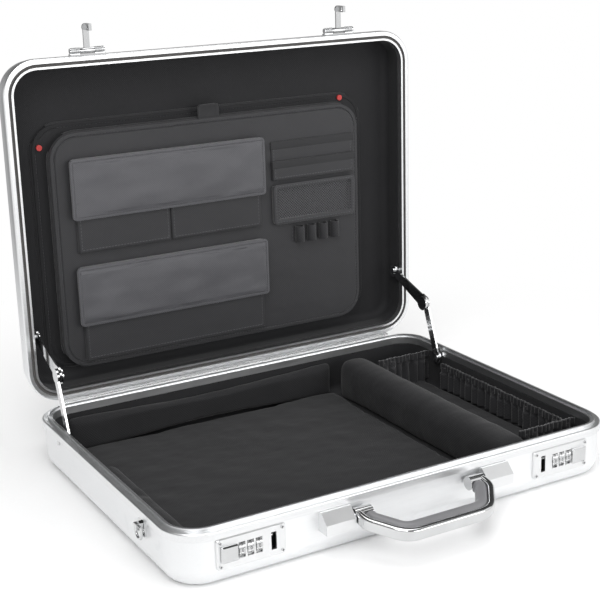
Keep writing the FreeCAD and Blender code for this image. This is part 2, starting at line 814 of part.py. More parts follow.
def make_stay_pins():
    base_pins = [stay_pin("base_stay_pin_" + side, sign, "stay_base_z", "lower_in") for side, sign in SIDES]
    group("base_stay_pins", base_pins)
    lid_pins = [stay_pin("lid_stay_pin_" + side, sign, "stay_lid_z", "upper_in") for side, sign in SIDES]
    on_lid(group("lid_stay_pins", lid_pins))


# Combination locks

def make_lock_plate(side, sign):
    body = new_body("lock_plate_" + side)
    span = ("lock_front", "wall_front")
    plate = extrude(body, "XZ", rounded("lock_length", "lock_height", "lock_corner"),
                    ("%d * lock_x" % sign, "lock_z"), span)
    round_edges(body, plate, at_level("Y", "lock_front"), "lock_screw_height", "PartDesign::Chamfer")
    window_height = "2 * sqrt(wheel_radius ^ 2 - (wheel_y - wall_front) ^ 2) + 2 * wheel_side_gap"
    window_width = "wheel_width + 2 * wheel_side_gap"
    for step in (-1, 0, 1):
        place = "%d * (wheel_x + %d * wheel_pitch)" % (sign, step)
        cut(body, "XZ", square(window_width, window_height), (place, "lock_z"), span)
    cut(body, "XZ", square("hasp_slot_width", "hasp_slot_height"), ("%d * hasp_x" % sign, "lock_z"), span)
    slot_middle = "%d * (slide_x + slide_travel / 2)" % sign
    slot_width = "slide_stem + slide_travel + 2 * hole_gap"
    cut(body, "XZ", square(slot_width, "slide_stem + 2 * hole_gap"), (slot_middle, "lock_z"), span)
    return named(body, "lock_plate_" + side)


def make_lock_case(side, sign):
    """The housing behind a plate, with the wheels' axle between two ribs."""
    body = new_body("lock_case_" + side)
    height = "lock_case_rise + lock_case_fall"
    middle = "lock_z + (lock_case_rise - lock_case_fall) / 2"
    place = ("%d * lock_x" % sign, middle)
    extrude(body, "XZ", square("case_far - case_near", height), place, ("wall_front", "case_back"))
    hollow = square("case_far - case_near - 2 * lock_case_wall", height + " - 2 * lock_case_wall")
    cut(body, "XZ", hollow, place, ("wall_front", "case_back - lock_case_wall"))
    rib_height = "axle_rib_rise + axle_rib_fall"
    rib_z = "lock_z + (axle_rib_rise - axle_rib_fall) / 2"
    rib_depth = "case_back - lock_case_wall - wheel_y + axle_radius + axle_rib"
    rib_y = "case_back - lock_case_wall - (%s) / 2" % rib_depth
    for near, far in (("wheels_near - axle_rib", "wheels_near"), ("wheels_far", "wheels_far + axle_rib")):
        extrude(body, "YZ", square(rib_depth, rib_height), (rib_y, rib_z), across(sign, near, far))
    extrude(body, "YZ", disc("axle_radius"), ("wheel_y", "lock_z"), across(sign, "wheels_near", "wheels_far"))
    return named(body, "lock_case_" + side)


def make_wheel(side, sign, step):
    """A number wheel with a thumb notch between each two of its digits."""
    label = "lock_wheel_%s_%d" % (side, step + 2)
    body = new_body(label)
    middle = "wheel_x + %d * wheel_pitch" % step
    span = across(sign, middle + " - wheel_width / 2", middle + " + wheel_width / 2")
    drum = extrude(body, "YZ", disc("wheel_radius"), ("wheel_y", "lock_z"), span)
    cut(body, "YZ", disc("axle_radius + running_gap"), ("wheel_y", "lock_z"), span)
    notch = cut(body, "YZ", disc("wheel_notch_radius"), ("wheel_y", "lock_z + wheel_radius"), span)
    turn = body.newObject("PartDesign::PolarPattern", label + "_notches")
    turn.Originals = [notch]
    turn.Axis = (drum.Profile[0], ["N_Axis"])
    turn.setExpression("Occurrences", bound("wheel_digits"))
    body.Tip = turn
    doc.recompute()
    return named(body, label)


def make_slide(side, sign):
    """The thumb slide, with a bar under the wheels that carries the catch to the hasp's slot."""
    body = new_body("lock_slide_" + side)
    pad_back = "lock_front - slide_lift"
    pad_front = pad_back + " - slide_thickness"
    middle = "%d * slide_x" % sign
    pad = extrude(body, "XZ", rounded("slide_width", "slide_height", "slide_bevel"),
                  (middle, "lock_z"), (pad_front, pad_back))
    round_edges(body, pad, at_level("Y", pad_front), "slide_bevel", "PartDesign::Chamfer")
    bar_back = "slide_bar_y + slide_bar_depth"
    extrude(body, "XZ", square("slide_stem", "slide_stem"), (middle, "lock_z"), (pad_back, bar_back))
    bar_bottom = "slide_bar_top - slide_bar_height"
    drop_height = "lock_z - (%s)" % bar_bottom
    behind = ("slide_bar_y", bar_back)
    drop_place = (middle, "lock_z - (%s) / 2" % drop_height)
    extrude(body, "XZ", square("slide_stem", drop_height), drop_place, behind)
    bar_far = "slide_x + slide_stem / 2"
    bar_middle = "%d * (post_near + %s) / 2" % (sign, bar_far)
    extrude(body, "XZ", square("%s - post_near" % bar_far, "slide_bar_height"),
            (bar_middle, "slide_bar_top - slide_bar_height / 2"), behind)
    post_top = "catch_z + catch_height / 2"
    post_height = "%s - (%s)" % (post_top, bar_bottom)
    post_place = ("%d * (post_near + slide_post / 2)" % sign, "%s - (%s) / 2" % (post_top, post_height))
    extrude(body, "XZ", square("slide_post", post_height), post_place, behind)
    catch_middle = "%d * (post_near - catch_reach / 2)" % sign
    extrude(body, "XZ", square("catch_reach", "catch_height"), (catch_middle, "catch_z"),
            ("catch_y - catch_depth / 2", "catch_y + catch_depth / 2"))
    return named(body, "lock_slide_" + side)


def make_lock_screws():
    heads = []
    for side, sign in SIDES:
        for across_step in (-1, 1):
            for up_step in (-1, 1):
                head = doc.addObject("Part::Cylinder", "lock_screw_" + side)
                head.Placement.Rotation = FreeCAD.Rotation(FreeCAD.Vector(1, 0, 0), QUARTER)
                head.setExpression("Radius", bound("lock_screw_radius"))
                head.setExpression("Height", bound("lock_screw_height"))
                x = "%d * lock_x + %d * (lock_length / 2 - lock_screw_inset)" % (sign, across_step)
                z = "lock_z + %d * (lock_height / 2 - lock_screw_inset)" % up_step
                head.setExpression("Placement.Base.x", bound(x))
                head.setExpression("Placement.Base.y", bound("lock_front"))
                head.setExpression("Placement.Base.z", bound(z))
                heads.append(head)
    group("lock_screws", heads)


def make_locks():
    for side, sign in SIDES:
        make_lock_plate(side, sign)
        make_lock_case(side, sign)
        make_slide(side, sign)
        for step in (-1, 0, 1):
            make_wheel(side, sign, step)
    make_lock_screws()


# Hasps on the lid's front

def make_hasp_plate(side, sign):
    """The fixed half of a hasp's hinge, on the lid frame, with its pin."""
    body = new_body("hasp_plate_" + side)
    face = "-half_depth"
    out = face + " - hasp_plate_thickness"
    high = "lid_rim + frame_height"
    low = "lid_rim + hasp_plate_start"
    middle = "%d * hasp_x" % sign
    extrude(body, "XZ", square("hasp_plate_width", "frame_height - hasp_plate_start"),
            (middle, "(%s + %s) / 2" % (low, high)), (out, face))
    knuckles = (("hasp_x - hasp_plate_width / 2", "hasp_x - hasp_knuckle_half - hole_gap"),
                ("hasp_x + hasp_knuckle_half + hole_gap", "hasp_x + hasp_plate_width / 2"))
    web_y = "(%s + hasp_y) / 2" % face
    for near, far in knuckles:
        span = across(sign, near, far)
        extrude(body, "YZ", disc("hasp_barrel_radius"), ("hasp_y", "hasp_z"), span)
        extrude(body, "YZ", square("hasp_axis_out", "hasp_barrel_radius"), (web_y, "hasp_z"), span)
    pin = across(sign, "hasp_x - hasp_plate_width / 2", "hasp_x + hasp_plate_width / 2")
    extrude(body, "YZ", disc("hasp_pin_radius"), ("hasp_y", "hasp_z"), pin)
    return on_lid(named(body, "hasp_plate_" + side))


def make_hasp(side, sign):
    """The swinging hasp, drawn hanging from its axis as it is when locked."""
    body = new_body("hasp_" + side)
    middle = "%d * hasp_x" % sign
    span = across(sign, "hasp_x - hasp_knuckle_half", "hasp_x + hasp_knuckle_half")
    extrude(body, "YZ", disc("hasp_barrel_radius"), ("0", "0"), span)
    leaf = ("-hasp_thickness / 2", "hasp_thickness / 2")
    tip_z = "hasp_tip_radius - hasp_reach"
    extrude(body, "XZ", square("hasp_width", "-(%s)" % tip_z), (middle, "(%s) / 2" % tip_z), leaf)
    extrude(body, "XZ", disc("hasp_tip_radius"), (middle, tip_z), leaf)
    tongue_y = ("0", "hasp_thickness / 2 + tongue_depth")
    extrude(body, "XZ", square("tongue_width", "tongue_height"),
            (middle, "tongue_height / 2 - hasp_reach"), tongue_y)
    window_y = "catch_y - hasp_y"
    window_span = across(sign, "hasp_x - tongue_width", "hasp_x + tongue_width")
    cut(body, "YZ", square("tongue_window_depth", "tongue_window_height"),
        (window_y, "catch_z - hasp_z"), window_span)
    cut(body, "YZ", disc("hasp_pin_radius + running_gap"), ("0", "0"), span)
    on_lid(body, -QUARTER, "hasp_y", "hasp_z")
    return named(body, "hasp_" + side)


def make_hasps():
    for side, sign in SIDES:
        make_hasp_plate(side, sign)
        make_hasp(side, sign)


# Handle

def make_bracket(side, sign):
    body = new_body("handle_bracket_" + side)
    out = "-bracket_depth"
    points = (("0", "0"), ("0", "-bracket_height"), (out, "-bracket_height"),
              (out, "bracket_nose - bracket_height"), ("-bracket_ledge", "0"))
    top = "handle_z + bracket_height / 2"
    span = across(sign, "bracket_near", "bracket_near + bracket_width")
    extrude(body, "YZ", outline(points), ("wall_front", top), span)
    bore = across(sign, "bracket_near", "bracket_near + bracket_bore_depth")
    cut(body, "YZ", disc("handle_trunnion_radius + running_gap"), ("handle_y", "handle_z"), bore)
    return named(body, "handle_bracket_" + side)


def handle_path(body, inset):
    """The handle's centre line about its axis: a short leg, a slanted run, the bar, and back again."""
    sketch = start_sketch(body, "XY", ("0", "0"), "0")
    slant = math.radians(size("handle_leg_angle"))
    neck = size("handle_neck_bend")
    bend = size("handle_bend")
    x = size("handle_half_width")
    start = -size(inset)
    leg_end = -size("handle_leg")
    neck_end = FreeCAD.Vector(x - neck * (1 - math.cos(slant)), leg_end - neck * math.sin(slant), 0)
    bar_y = -size("handle_reach")
    run_end_y = bar_y + bend * (1 - math.sin(slant))
    run_end = FreeCAD.Vector(neck_end.x - (neck_end.y - run_end_y) * math.tan(slant), run_end_y, 0)
    bar_x = run_end.x - bend * math.cos(slant)
    up = FreeCAD.Vector(0, 0, 1)
    half_turn = math.pi
    for side in (-1, 1):
        neck_circle = Part.Circle(FreeCAD.Vector(side * (x - neck), leg_end, 0), up, neck)
        bend_circle = Part.Circle(FreeCAD.Vector(side * bar_x, bar_y + bend, 0), up, bend)
        turns = [half_turn, half_turn + slant, 1.5 * half_turn]
        if side > 0:
            turns = [3 * half_turn - turn for turn in turns]
        leg = (FreeCAD.Vector(side * x, start, 0), FreeCAD.Vector(side * x, leg_end, 0))
        run = [FreeCAD.Vector(side * point.x, point.y, 0) for point in (neck_end, run_end)]
        curves = [Part.LineSegment(*leg), Part.ArcOfCircle(neck_circle, *sorted(turns[:2])),
                  Part.LineSegment(*run), Part.ArcOfCircle(bend_circle, *sorted(turns[1:]))]
        if side < 0:
            for curve in curves:
                sketch.addGeometry(curve)
            bar = (FreeCAD.Vector(-bar_x, bar_y, 0), FreeCAD.Vector(bar_x, bar_y, 0))
            sketch.addGeometry(Part.LineSegment(*bar))
        else:
            curves[0] = Part.LineSegment(*reversed(leg))
            curves[2] = Part.LineSegment(*reversed(run))
            for curve in reversed(curves):
                sketch.addGeometry(curve)
    for index in range(8):
        sketch.addConstraint(Sketcher.Constraint("Tangent", index, 2, index + 1, 1))
    sketch.addConstraint(Sketcher.Constraint("Vertical", 0))
    sketch.addConstraint(Sketcher.Constraint("Vertical", 8))
    sketch.addConstraint(Sketcher.Constraint("Horizontal", 4))
    for first, second in ((0, 8), (1, 7), (2, 6), (3, 5)):
        sketch.addConstraint(Sketcher.Constraint("Equal", first, second))
    sketch.addConstraint(Sketcher.Constraint("Symmetric", 0, 1, 8, 2, -2))
    set_size(sketch, Sketcher.Constraint("Radius", 1, neck), "handle_neck_bend")
    set_size(sketch, Sketcher.Constraint("Radius", 3, bend), "handle_bend")
    set_size(sketch, Sketcher.Constraint("DistanceX", 0, 1, 8, 2, 2 * x), "2 * handle_half_width")
    leg_length = Sketcher.Constraint("DistanceY", 0, 2, 0, 1, start - leg_end)
    set_size(sketch, leg_length, "handle_leg - (%s)" % inset)
    set_size(sketch, Sketcher.Constraint("DistanceY", 4, 1, -1, 1, -bar_y), "handle_reach")
    slope = sketch.addConstraint(Sketcher.Constraint("Angle", 2, slant - half_turn / 2))
    sketch.setExpression("Constraints[%d]" % slope, bound("handle_leg_angle") + " * 1 deg - 90 deg")
    if inset == "0":
        sketch.addConstraint(Sketcher.Constraint("PointOnObject", 0, 1, -1))
    else:
        set_size(sketch, Sketcher.Constraint("DistanceY", 0, 1, -1, 1, -start), inset)
    return sketch


def sweep(body, profile, offset, inset):
    """Runs a profile, drawn across the left leg, along the handle's centre line."""
    path = handle_path(body, inset)
    section = start_sketch(body, "XZ", ("%s - handle_half_width" % offset, "0"), inset)
    profile(section)
    doc.recompute()
    pipe = body.newObject("PartDesign::AdditivePipe", body.Name + "_sweep")
    pipe.Profile = section
    pipe.Spine = (path, ["Edge%d" % (index + 1) for index in range(9)])
    doc.recompute()
    return pipe


def on_handle_axis(body):
    """Sets a piece of the handle on its axis, at the angle where it rests."""
    turn = FreeCAD.Rotation(FreeCAD.Vector(1, 0, 0), size("handle_rest_angle"))
    body.Placement = FreeCAD.Placement(FreeCAD.Vector(), turn)
    body.setExpression("Placement.Base.y", bound("handle_y"))
    body.setExpression("Placement.Base.z", bound("handle_z"))
    return body


def make_handle():
    """A cast rail with trunnions at its ends, and a soft grip along its inner side."""
    rail = new_body("handle_shell")
    sweep(rail, rounded("handle_rail_depth", "handle_height", "handle_rail_round"),
          "(handle_rail_depth - handle_depth) / 2", "0")
    for _, sign in SIDES:
        hub = across(sign, "handle_half_width - handle_hub_half", "handle_half_width + handle_hub_half")
        extrude(rail, "YZ", disc("handle_hub_radius"), ("0", "0"), hub)
        trunnion = across(sign, "handle_half_width",
                          "handle_half_width + handle_hub_half + handle_trunnion_length")
        extrude(rail, "YZ", disc("handle_trunnion_radius"), ("0", "0"), trunnion)
    named(on_handle_axis(rail), "handle_shell")
    grip = new_body("handle_grip")
    depth = "handle_depth - handle_rail_depth - seat_gap"
    sweep(grip, rounded(depth, "grip_height", "grip_round"),
          "(handle_rail_depth + seat_gap) / 2", "grip_inset")
    named(on_handle_axis(grip), "handle_grip")
    for side, sign in SIDES:
        make_bracket(side, sign)


# Shoulder strap lugs and rings

def make_strap_lugs():
    for side, sign in SIDES:
        lug = new_body("strap_lug_" + side)
        place = ("lug_y", "lug_z - lug_height / 2 + lug_block")
        extrude(lug, "YZ", rounded("lug_width", "lug_height", "lug_corner"), place,
                across(sign, "wall_side", "wall_side + lug_thickness"))
        extrude(lug, "YZ", square("lug_block", "lug_block"), ("lug_y", "lug_z"),
                across(sign, "wall_side", "wall_side + lug_thickness + lug_block"))
        bore = ("lug_y - lug_block / 2", "lug_y + lug_block / 2")
        cut(lug, "XZ", disc("ring_wire_radius + running_gap"), ("%d * ring_x" % sign, "lug_z"), bore)
        named(lug, "strap_lug_" + side)
        make_strap_ring(side, sign)


def make_strap_ring(side, sign):
    """A wire ring hanging from its straight bar: two legs and a round bow."""
    corners = ("lug_y - ring_radius", "lug_y + ring_radius")
    bow_z = "lug_z - ring_leg"
    bar = doc.addObject("Part::Cylinder", "strap_bar_" + side)
    bar.setExpression("Height", bound("2 * ring_radius"))
    bar.Placement.Rotation = FreeCAD.Rotation(FreeCAD.Vector(1, 0, 0), -QUARTER)
    bow = doc.addObject("Part::Torus", "strap_bow_" + side)
    bow.setExpression("Radius1", bound("ring_radius"))
    bow.setExpression("Radius2", bound("ring_wire_radius"))
    bow.Angle3 = 2 * QUARTER
    lay_down = FreeCAD.Rotation(FreeCAD.Vector(1, 0, 0), -QUARTER)
    bow.Placement.Rotation = lay_down.multiply(FreeCAD.Rotation(FreeCAD.Vector(0, 1, 0), QUARTER))
    members = [(bar, corners[0], "lug_z"), (bow, "lug_y", bow_z)]
    for corner in corners:
        leg = doc.addObject("Part::Cylinder", "strap_leg_" + side)
        leg.setExpression("Height", bound("ring_leg"))
        members.append((leg, corner, bow_z))
        bend = doc.addObject("Part::Sphere", "strap_bend_" + side)
        members.append((bend, corner, "lug_z"))
    for member, y, z in members:
        if member is not bow:
            member.setExpression("Radius", bound("ring_wire_radius"))
        member.setExpression("Placement.Base.x", bound("%d * ring_x" % sign))
        member.setExpression("Placement.Base.y", bound(y))
        member.setExpression("Placement.Base.z", bound(z))
    ring_piece = doc.addObject("Part::MultiFuse", "strap_ring_" + side)
    ring_piece.Shapes = [member for member, _, _ in members]
    named(ring_piece, "strap_ring_" + side)


# Feet on the hinge side, for standing the closed case on end

def feet(label, height):
    members = []
    for side, sign in SIDES:
        foot = doc.addObject("Part::Cone", label + "_" + side)
        foot.setExpression("Radius1", bound("foot_radius"))
        foot.setExpression("Radius2", bound("foot_tip_radius"))
        foot.setExpression("Height", bound("foot_height"))
        foot.Placement.Rotation = FreeCAD.Rotation(FreeCAD.Vector(1, 0, 0), -QUARTER)
        foot.setExpression("Placement.Base.x", bound("%d * foot_x" % sign))
        foot.setExpression("Placement.Base.y", bound("wall_rear"))
        foot.setExpression("Placement.Base.z", bound(height))
        members.append(foot)
    return group(label, members)


def make_feet():
    feet("base_feet", "rim - foot_drop")
    on_lid(feet("lid_feet", "lid_rim + lid_foot_rise"))


# Padded and gathered pieces

def rounded_wire(width, depth, radius, height):
    """A rounded rectangle about the origin, at a height, as lines and arcs."""
    x = width / 2
    y = depth / 2
    slant = radius * (1 - math.sqrt(0.5))
    edges = []
    corners = ((1, -1), (1, 1), (-1, 1), (-1, -1))
    for index, (right, rear) in enumerate(corners):
        long_end = FreeCAD.Vector(right * (x - radius), rear * y, height)
        middle = FreeCAD.Vector(right * (x - slant), rear * (y - slant), height)
        side_end = FreeCAD.Vector(right * x, rear * (y - radius), height)
        start, end = (long_end, side_end) if index % 2 == 0 else (side_end, long_end)
        edges.append((start, middle, end))
    outline_edges = []
    for index, (start, middle, end) in enumerate(edges):
        outline_edges.append(Part.Arc(start, middle, end).toShape())
        outline_edges.append(Part.LineSegment(end, edges[(index + 1) % 4][0]).toShape())
    return Part.Wire(outline_edges)


def cushion(width, depth, thickness, corner, edge):
    """A padded form on the XY plane: sides drawn in at the foot, a soft edge and a crown."""
    wires = []
    for height_share, inset_share in zip(PAD_HEIGHT_SHARES, PAD_INSET_SHARES):
        inset = 2 * edge * inset_share
        radius = min(corner, (min(width, depth) - inset) * PAD_CORNER_SHARE)
        wires.append(rounded_wire(width - inset, depth - inset, radius, thickness * height_share))
    crown = PAD_CROWN_SHARE
    radius = min(corner, min(width, depth) * PAD_CORNER_SHARE) * crown
    wires.append(rounded_wire(width * crown, depth * crown, radius, thickness))
    return Part.makeLoft(wires, True, True)


def soft_box(label, x_span, y_span, z_span, edge="pad_edge", corner="pad_corner"):
    """A padded block between named limits."""
    low = [size(span[0]) for span in (x_span, y_span, z_span)]
    high = [size(span[1]) for span in (x_span, y_span, z_span)]
    width, depth, thickness = [far - near for near, far in zip(low, high)]
    block = doc.addObject("Part::Feature", label)
    block.Shape = cushion(width, depth, thickness, size(corner), size(edge))
    middle = FreeCAD.Vector((low[0] + high[0]) / 2, (low[1] + high[1]) / 2, low[2])
    block.Placement = FreeCAD.Placement(middle, FreeCAD.Rotation())
    return block


def base_room():
    """The room inside the base's lining, with the lining's round corners and floor edge."""
    body = new_body("base_room")
    block = extrude(body, "XY", plan("frame_width + soft_gap"), ("0", "0"), ("pad_floor", "rim"))
    round_edges(body, block, at_level("Z", "pad_floor"), "liner_edge - liner_thickness - soft_gap")
    return body


def trimmed(label, block, room, cutters=()):
    """A pad kept inside the lining's room and cut round the lock cases."""
    piece = doc.addObject("Part::Common", label)
    piece.Base = block
    piece.Tool = room
    for cutter in cutters:
        recess = doc.addObject("Part::Cut", label + "_recess")
        recess.Base = piece
        recess.Tool = cutter
        piece = recess
    doc.recompute()
    return piece


def lock_recess(sign):
    """The room that a lock case takes in the front pad."""
    body = new_body("lock_recess")
    height = "lock_case_rise + lock_case_fall + 2 * soft_gap"
    middle = "lock_z + (lock_case_rise - lock_case_fall) / 2"
    extrude(body, "XZ", square("case_far - case_near + 2 * soft_gap", height),
            ("%d * lock_x" % sign, middle), ("-half_depth", "case_back + soft_gap"))
    return body


def make_base_pads():
    room = base_room()
    bay_x = ("bay_left + soft_gap", "divider_left - soft_gap")
    bay_y = ("bay_front + soft_gap", "bay_rear - soft_gap")
    floor_z = ("pad_floor", "pad_floor + floor_pad_thickness")
    named(soft_box("laptop_floor_block", bay_x, bay_y, floor_z), "laptop_floor_pad")
    wall_x = ("-inner_x", "inner_x")
    front_y = ("-inner_y", "bay_front")
    front = soft_box("front_pad_block", wall_x, front_y, ("pad_floor", "rim - front_pad_drop"))
    recesses = [lock_recess(sign) for _, sign in SIDES]
    named(trimmed("front_pad_inside", front, room, recesses), "front_pad")
    rear_y = ("bay_rear", "inner_y - soft_gap")
    rear = soft_box("rear_pad_block", bay_x, rear_y, ("pad_floor", "rim - rear_pad_drop"))
    named(trimmed("rear_pad_inside", rear, room), "rear_pad")
    side_x = ("-inner_x + soft_gap", "bay_left")
    tall = soft_box("left_pad_tall", side_x, ("bay_front + soft_gap", "side_pad_split"),
                    ("pad_floor", "rim - side_pad_drop"))
    low = soft_box("left_pad_low", side_x, ("side_pad_split + soft_gap", "bay_rear - soft_gap"),
                   ("pad_floor", "rim - side_pad_low_drop"))
    group("left_pad", [trimmed("left_pad_inside", block, room) for block in (tall, low)])
    divider_x = ("divider_left", "divider_right")
    divider_z = ("pad_floor", "rim - divider_drop")
    named(soft_box("divider_block", divider_x, bay_y, divider_z, "divider_edge"), "divider_pad")
    accessory_x = ("divider_right + soft_gap", "inner_x - soft_gap")
    accessory_z = ("pad_floor", "pad_floor + accessory_pad_thickness")
    accessory = soft_box("accessory_floor_block", accessory_x, bay_y, accessory_z)
    named(trimmed("accessory_inside", accessory, room), "accessory_floor_pad")


def gathered_curtain(label, y):
    """A strip of elastic cloth across the accessory bay, standing in even folds."""
    left = size("divider_right + soft_gap + pouch_thickness")
    right = size("inner_x - soft_gap")
    folds = int(size("pouch_folds"))
    bulge = size("pouch_fold")
    pitch = (right - left) / folds
    thickness = size("pouch_thickness")
    bottom = size("pad_floor + accessory_pad_thickness + soft_gap")
    height = size("rim - pouch_drop") - bottom
    middle = size(y)

    def wave(offset, backwards):
        arcs = []
        for index in range(folds):
            way = 1 if index % 2 == 0 else -1
            start = FreeCAD.Vector(left + index * pitch, middle + offset, bottom)
            top = FreeCAD.Vector(left + (index + 0.5) * pitch, middle + offset + way * bulge, bottom)
            end = FreeCAD.Vector(left + (index + 1) * pitch, middle + offset, bottom)
            ends = (end, start) if backwards else (start, end)
            arcs.append(Part.Arc(ends[0], top, ends[1]).toShape())
        return arcs[::-1] if backwards else arcs
    front = wave(-thickness / 2, False)
    back = wave(thickness / 2, True)
    join = Part.LineSegment(front[-1].lastVertex().Point, back[0].firstVertex().Point).toShape()
    close = Part.LineSegment(back[-1].lastVertex().Point, front[0].firstVertex().Point).toShape()
    face = Part.Face(Part.Wire(front + [join] + back + [close]))
    curtain = doc.addObject("Part::Feature", label)
    curtain.Shape = face.extrude(FreeCAD.Vector(0, 0, height))
    return curtain


def make_pouches():
    room = base_room()
    rear = trimmed("pouch_rear_inside", gathered_curtain("pouch_rear", "pouch_rear_y"), room)
    front = trimmed("pouch_front_inside", gathered_curtain("pouch_front", "pouch_front_y"), room)
    group("elastic_pouches", [rear, front])


# Organiser in the lid, drawn in the closed lid with its front towards the mouth

def organiser_panel(label, width, top, bottom, level, thickness, edge):
    """A padded board with rounded corners, its soft side towards the mouth."""
    panel = doc.addObject("Part::Feature", label)
    depth = size("(%s) - (%s)" % (bottom, top))
    panel.Shape = cushion(size(width), depth, size(thickness), size("panel_corner"), size(edge))
    along = size("(%s + %s) / 2" % (top, bottom))
    place = FreeCAD.Vector(size("organiser_x"), along, size("%s + %s" % (level, thickness)))
    flip = FreeCAD.Rotation(FreeCAD.Vector(0, 1, 0), 2 * QUARTER)
    panel.Placement = turned_on_lid().multiply(FreeCAD.Placement(place, flip))
    return named(panel, label)


def make_panels():
    organiser_panel("organiser_front_panel", "panel_width", "panel_top", "panel_bottom",
                    "panel_z", "panel_thickness", "panel_edge")
    organiser_panel("organiser_back_panel", "back_panel_width", "back_panel_top", "back_panel_bottom",
                    "back_panel_z", "back_panel_thickness", "panel_edge")


def folded_strip(label, side):
    """A pleated side wall of the file pocket, between the front and back panels."""
    start = size("panel_back_z + soft_gap")
    rise = size("back_panel_z - soft_gap") - start
    folds = int(size("gusset_folds"))
    near = size("organiser_x + %d * (panel_width / 2 - gusset_inset - panel_edge)" % side)
    inner = near - side * size("gusset_fold")
    thickness = -side * size("gusset_thickness")
    edge = []
    for index in range(folds + 1):
        edge.append((near if index % 2 == 0 else inner, start + rise * index / folds))
    points = [FreeCAD.Vector(x, 0, z) for x, z in edge]
    points += [FreeCAD.Vector(x + thickness, 0, z) for x, z in reversed(edge)]
    face = Part.Face(Part.makePolygon(points + points[:1]))
    top = size("panel_top + panel_corner")
    bottom = size("panel_bottom - panel_corner")
    face.translate(FreeCAD.Vector(0, top, 0))
    strip = doc.addObject("Part::Feature", label)
    strip.Shape = face.extrude(FreeCAD.Vector(0, bottom - top, 0))
    return strip


def make_gusset():
    sides = [folded_strip("gusset_" + side, sign) for side, sign in SIDES]
    floor = new_body("gusset_floor")
    extrude(floor, "XY", square("panel_width - 2 * panel_corner", "gusset_thickness"),
            ("organiser_x", "panel_bottom - gusset_inset - panel_edge"),
            ("panel_back_z + soft_gap", "back_panel_z - soft_gap"))
    on_lid(group("organiser_gusset", sides + [floor]))


def open_pocket(label, top, bottom, splits=()):
    """A sewn pocket on the panel: a front wall with closed sides and bottom, open at its top."""
    body = new_body(label)
    middle = ("(pocket_left + pocket_right) / 2", "(%s + %s) / 2" % (top, bottom))
    back = "panel_z - seat_gap"
    extrude(body, "XY", square("pocket_right - pocket_left", "%s - (%s)" % (bottom, top)), middle,
            ("pocket_z", back))
    edges = ["pocket_left + pocket_wall"]
    for split in splits:
        edges += ["%s - pocket_wall / 2" % split, "%s + pocket_wall / 2" % split]
    edges.append("pocket_right - pocket_wall")
    inside_bottom = "%s - pocket_wall" % bottom
    for left, right in zip(edges[0::2], edges[1::2]):
        room = square("%s - (%s)" % (right, left), "%s - (%s)" % (inside_bottom, top))
        place = ("(%s + %s) / 2" % (left, right), "(%s + %s) / 2" % (top, inside_bottom))
        cut(body, "XY", room, place, ("pocket_z + pocket_wall", back))
    return body


def make_pockets():
    upper = open_pocket("upper_pocket", "upper_pocket_top", "upper_pocket_bottom", ["pocket_split"])
    lower = open_pocket("lower_pocket", "lower_pocket_top", "lower_pocket_bottom")
    on_lid(group("flap_pockets", [upper, lower]))


def make_flap(label, top):
    """A flap over a pocket, with a return at its top that ends in a roll on the sewn line."""
    body = new_body(label)
    width = "pocket_right - pocket_left + 2 * flap_overhang"
    middle_x = "(pocket_left + pocket_right) / 2"
    front = ("flap_z", "flap_z + flap_thickness")
    face = extrude(body, "XY", rounded(width, "flap_height", "flap_corner"),
                   (middle_x, "%s + flap_height / 2" % top), front)
    round_edges(body, face, at_level("Z", "flap_z"), "flap_thickness / 3")
    fold = ("flap_z + flap_thickness / 2", "panel_z - flap_axis_lift")
    extrude(body, "XY", square(width + " - 2 * flap_corner", "flap_fold"),
            (middle_x, "%s + flap_fold / 2" % top), fold)
    half = "(%s) / 2 - flap_corner" % width
    extrude(body, "YZ", disc("flap_fold / 2"), ("%s + flap_fold / 2" % top, "panel_z - flap_axis_lift"),
            ("%s - (%s)" % (middle_x, half), "%s + %s" % (middle_x, half)))
    return on_lid(named(body, label))


def make_card_pockets():
    """Two stepped card slots, one in front of the other."""
    body = new_body("card_pockets")
    middle_x = "(card_left + card_right) / 2"
    layers = (("card_top", "panel_z - seat_gap"),
              ("card_top + card_step", "panel_z - seat_gap - card_layer"))
    for top, back in layers:
        height = "card_bottom - (%s)" % top
        front = "%s - card_layer" % back
        extrude(body, "XY", square("card_right - card_left", height),
                (middle_x, "(card_bottom + %s) / 2" % top), (front, back))
    for top, back in layers:
        inside = "card_bottom - card_hem"
        cut(body, "XY", square("card_right - card_left - 2 * card_hem", "%s - (%s)" % (inside, top)),
            (middle_x, "(%s + %s) / 2" % (inside, top)), ("%s - card_slot" % back, back))
    return on_lid(named(body, "card_pockets"))


def make_mesh_pocket():
    """A pocket with a piped hem round an open net."""
    body = new_body("mesh_trim")
    middle = ("(card_left + card_right) / 2", "(mesh_top + mesh_bottom) / 2")
    width = "card_right - card_left"
    height = "mesh_bottom - mesh_top"
    front = "panel_z - mesh_depth"
    back = "panel_z - seat_gap"
    extrude(body, "XY", square(width, height), middle, (front, back))
    hem = "%s - 2 * mesh_trim"
    cut(body, "XY", square(hem % width, hem % height), middle, (front, back))
    room_bottom = "mesh_bottom - mesh_trim"
    room = square(hem % width, "%s - mesh_top" % room_bottom)
    room_front = "%s + mesh_trim_thickness" % front
    cut(body, "XY", room, (middle[0], "(%s + mesh_top) / 2" % room_bottom), (room_front, back))
    on_lid(group("mesh_pocket", [body, mesh_net(middle, hem % width, hem % height, front)]))


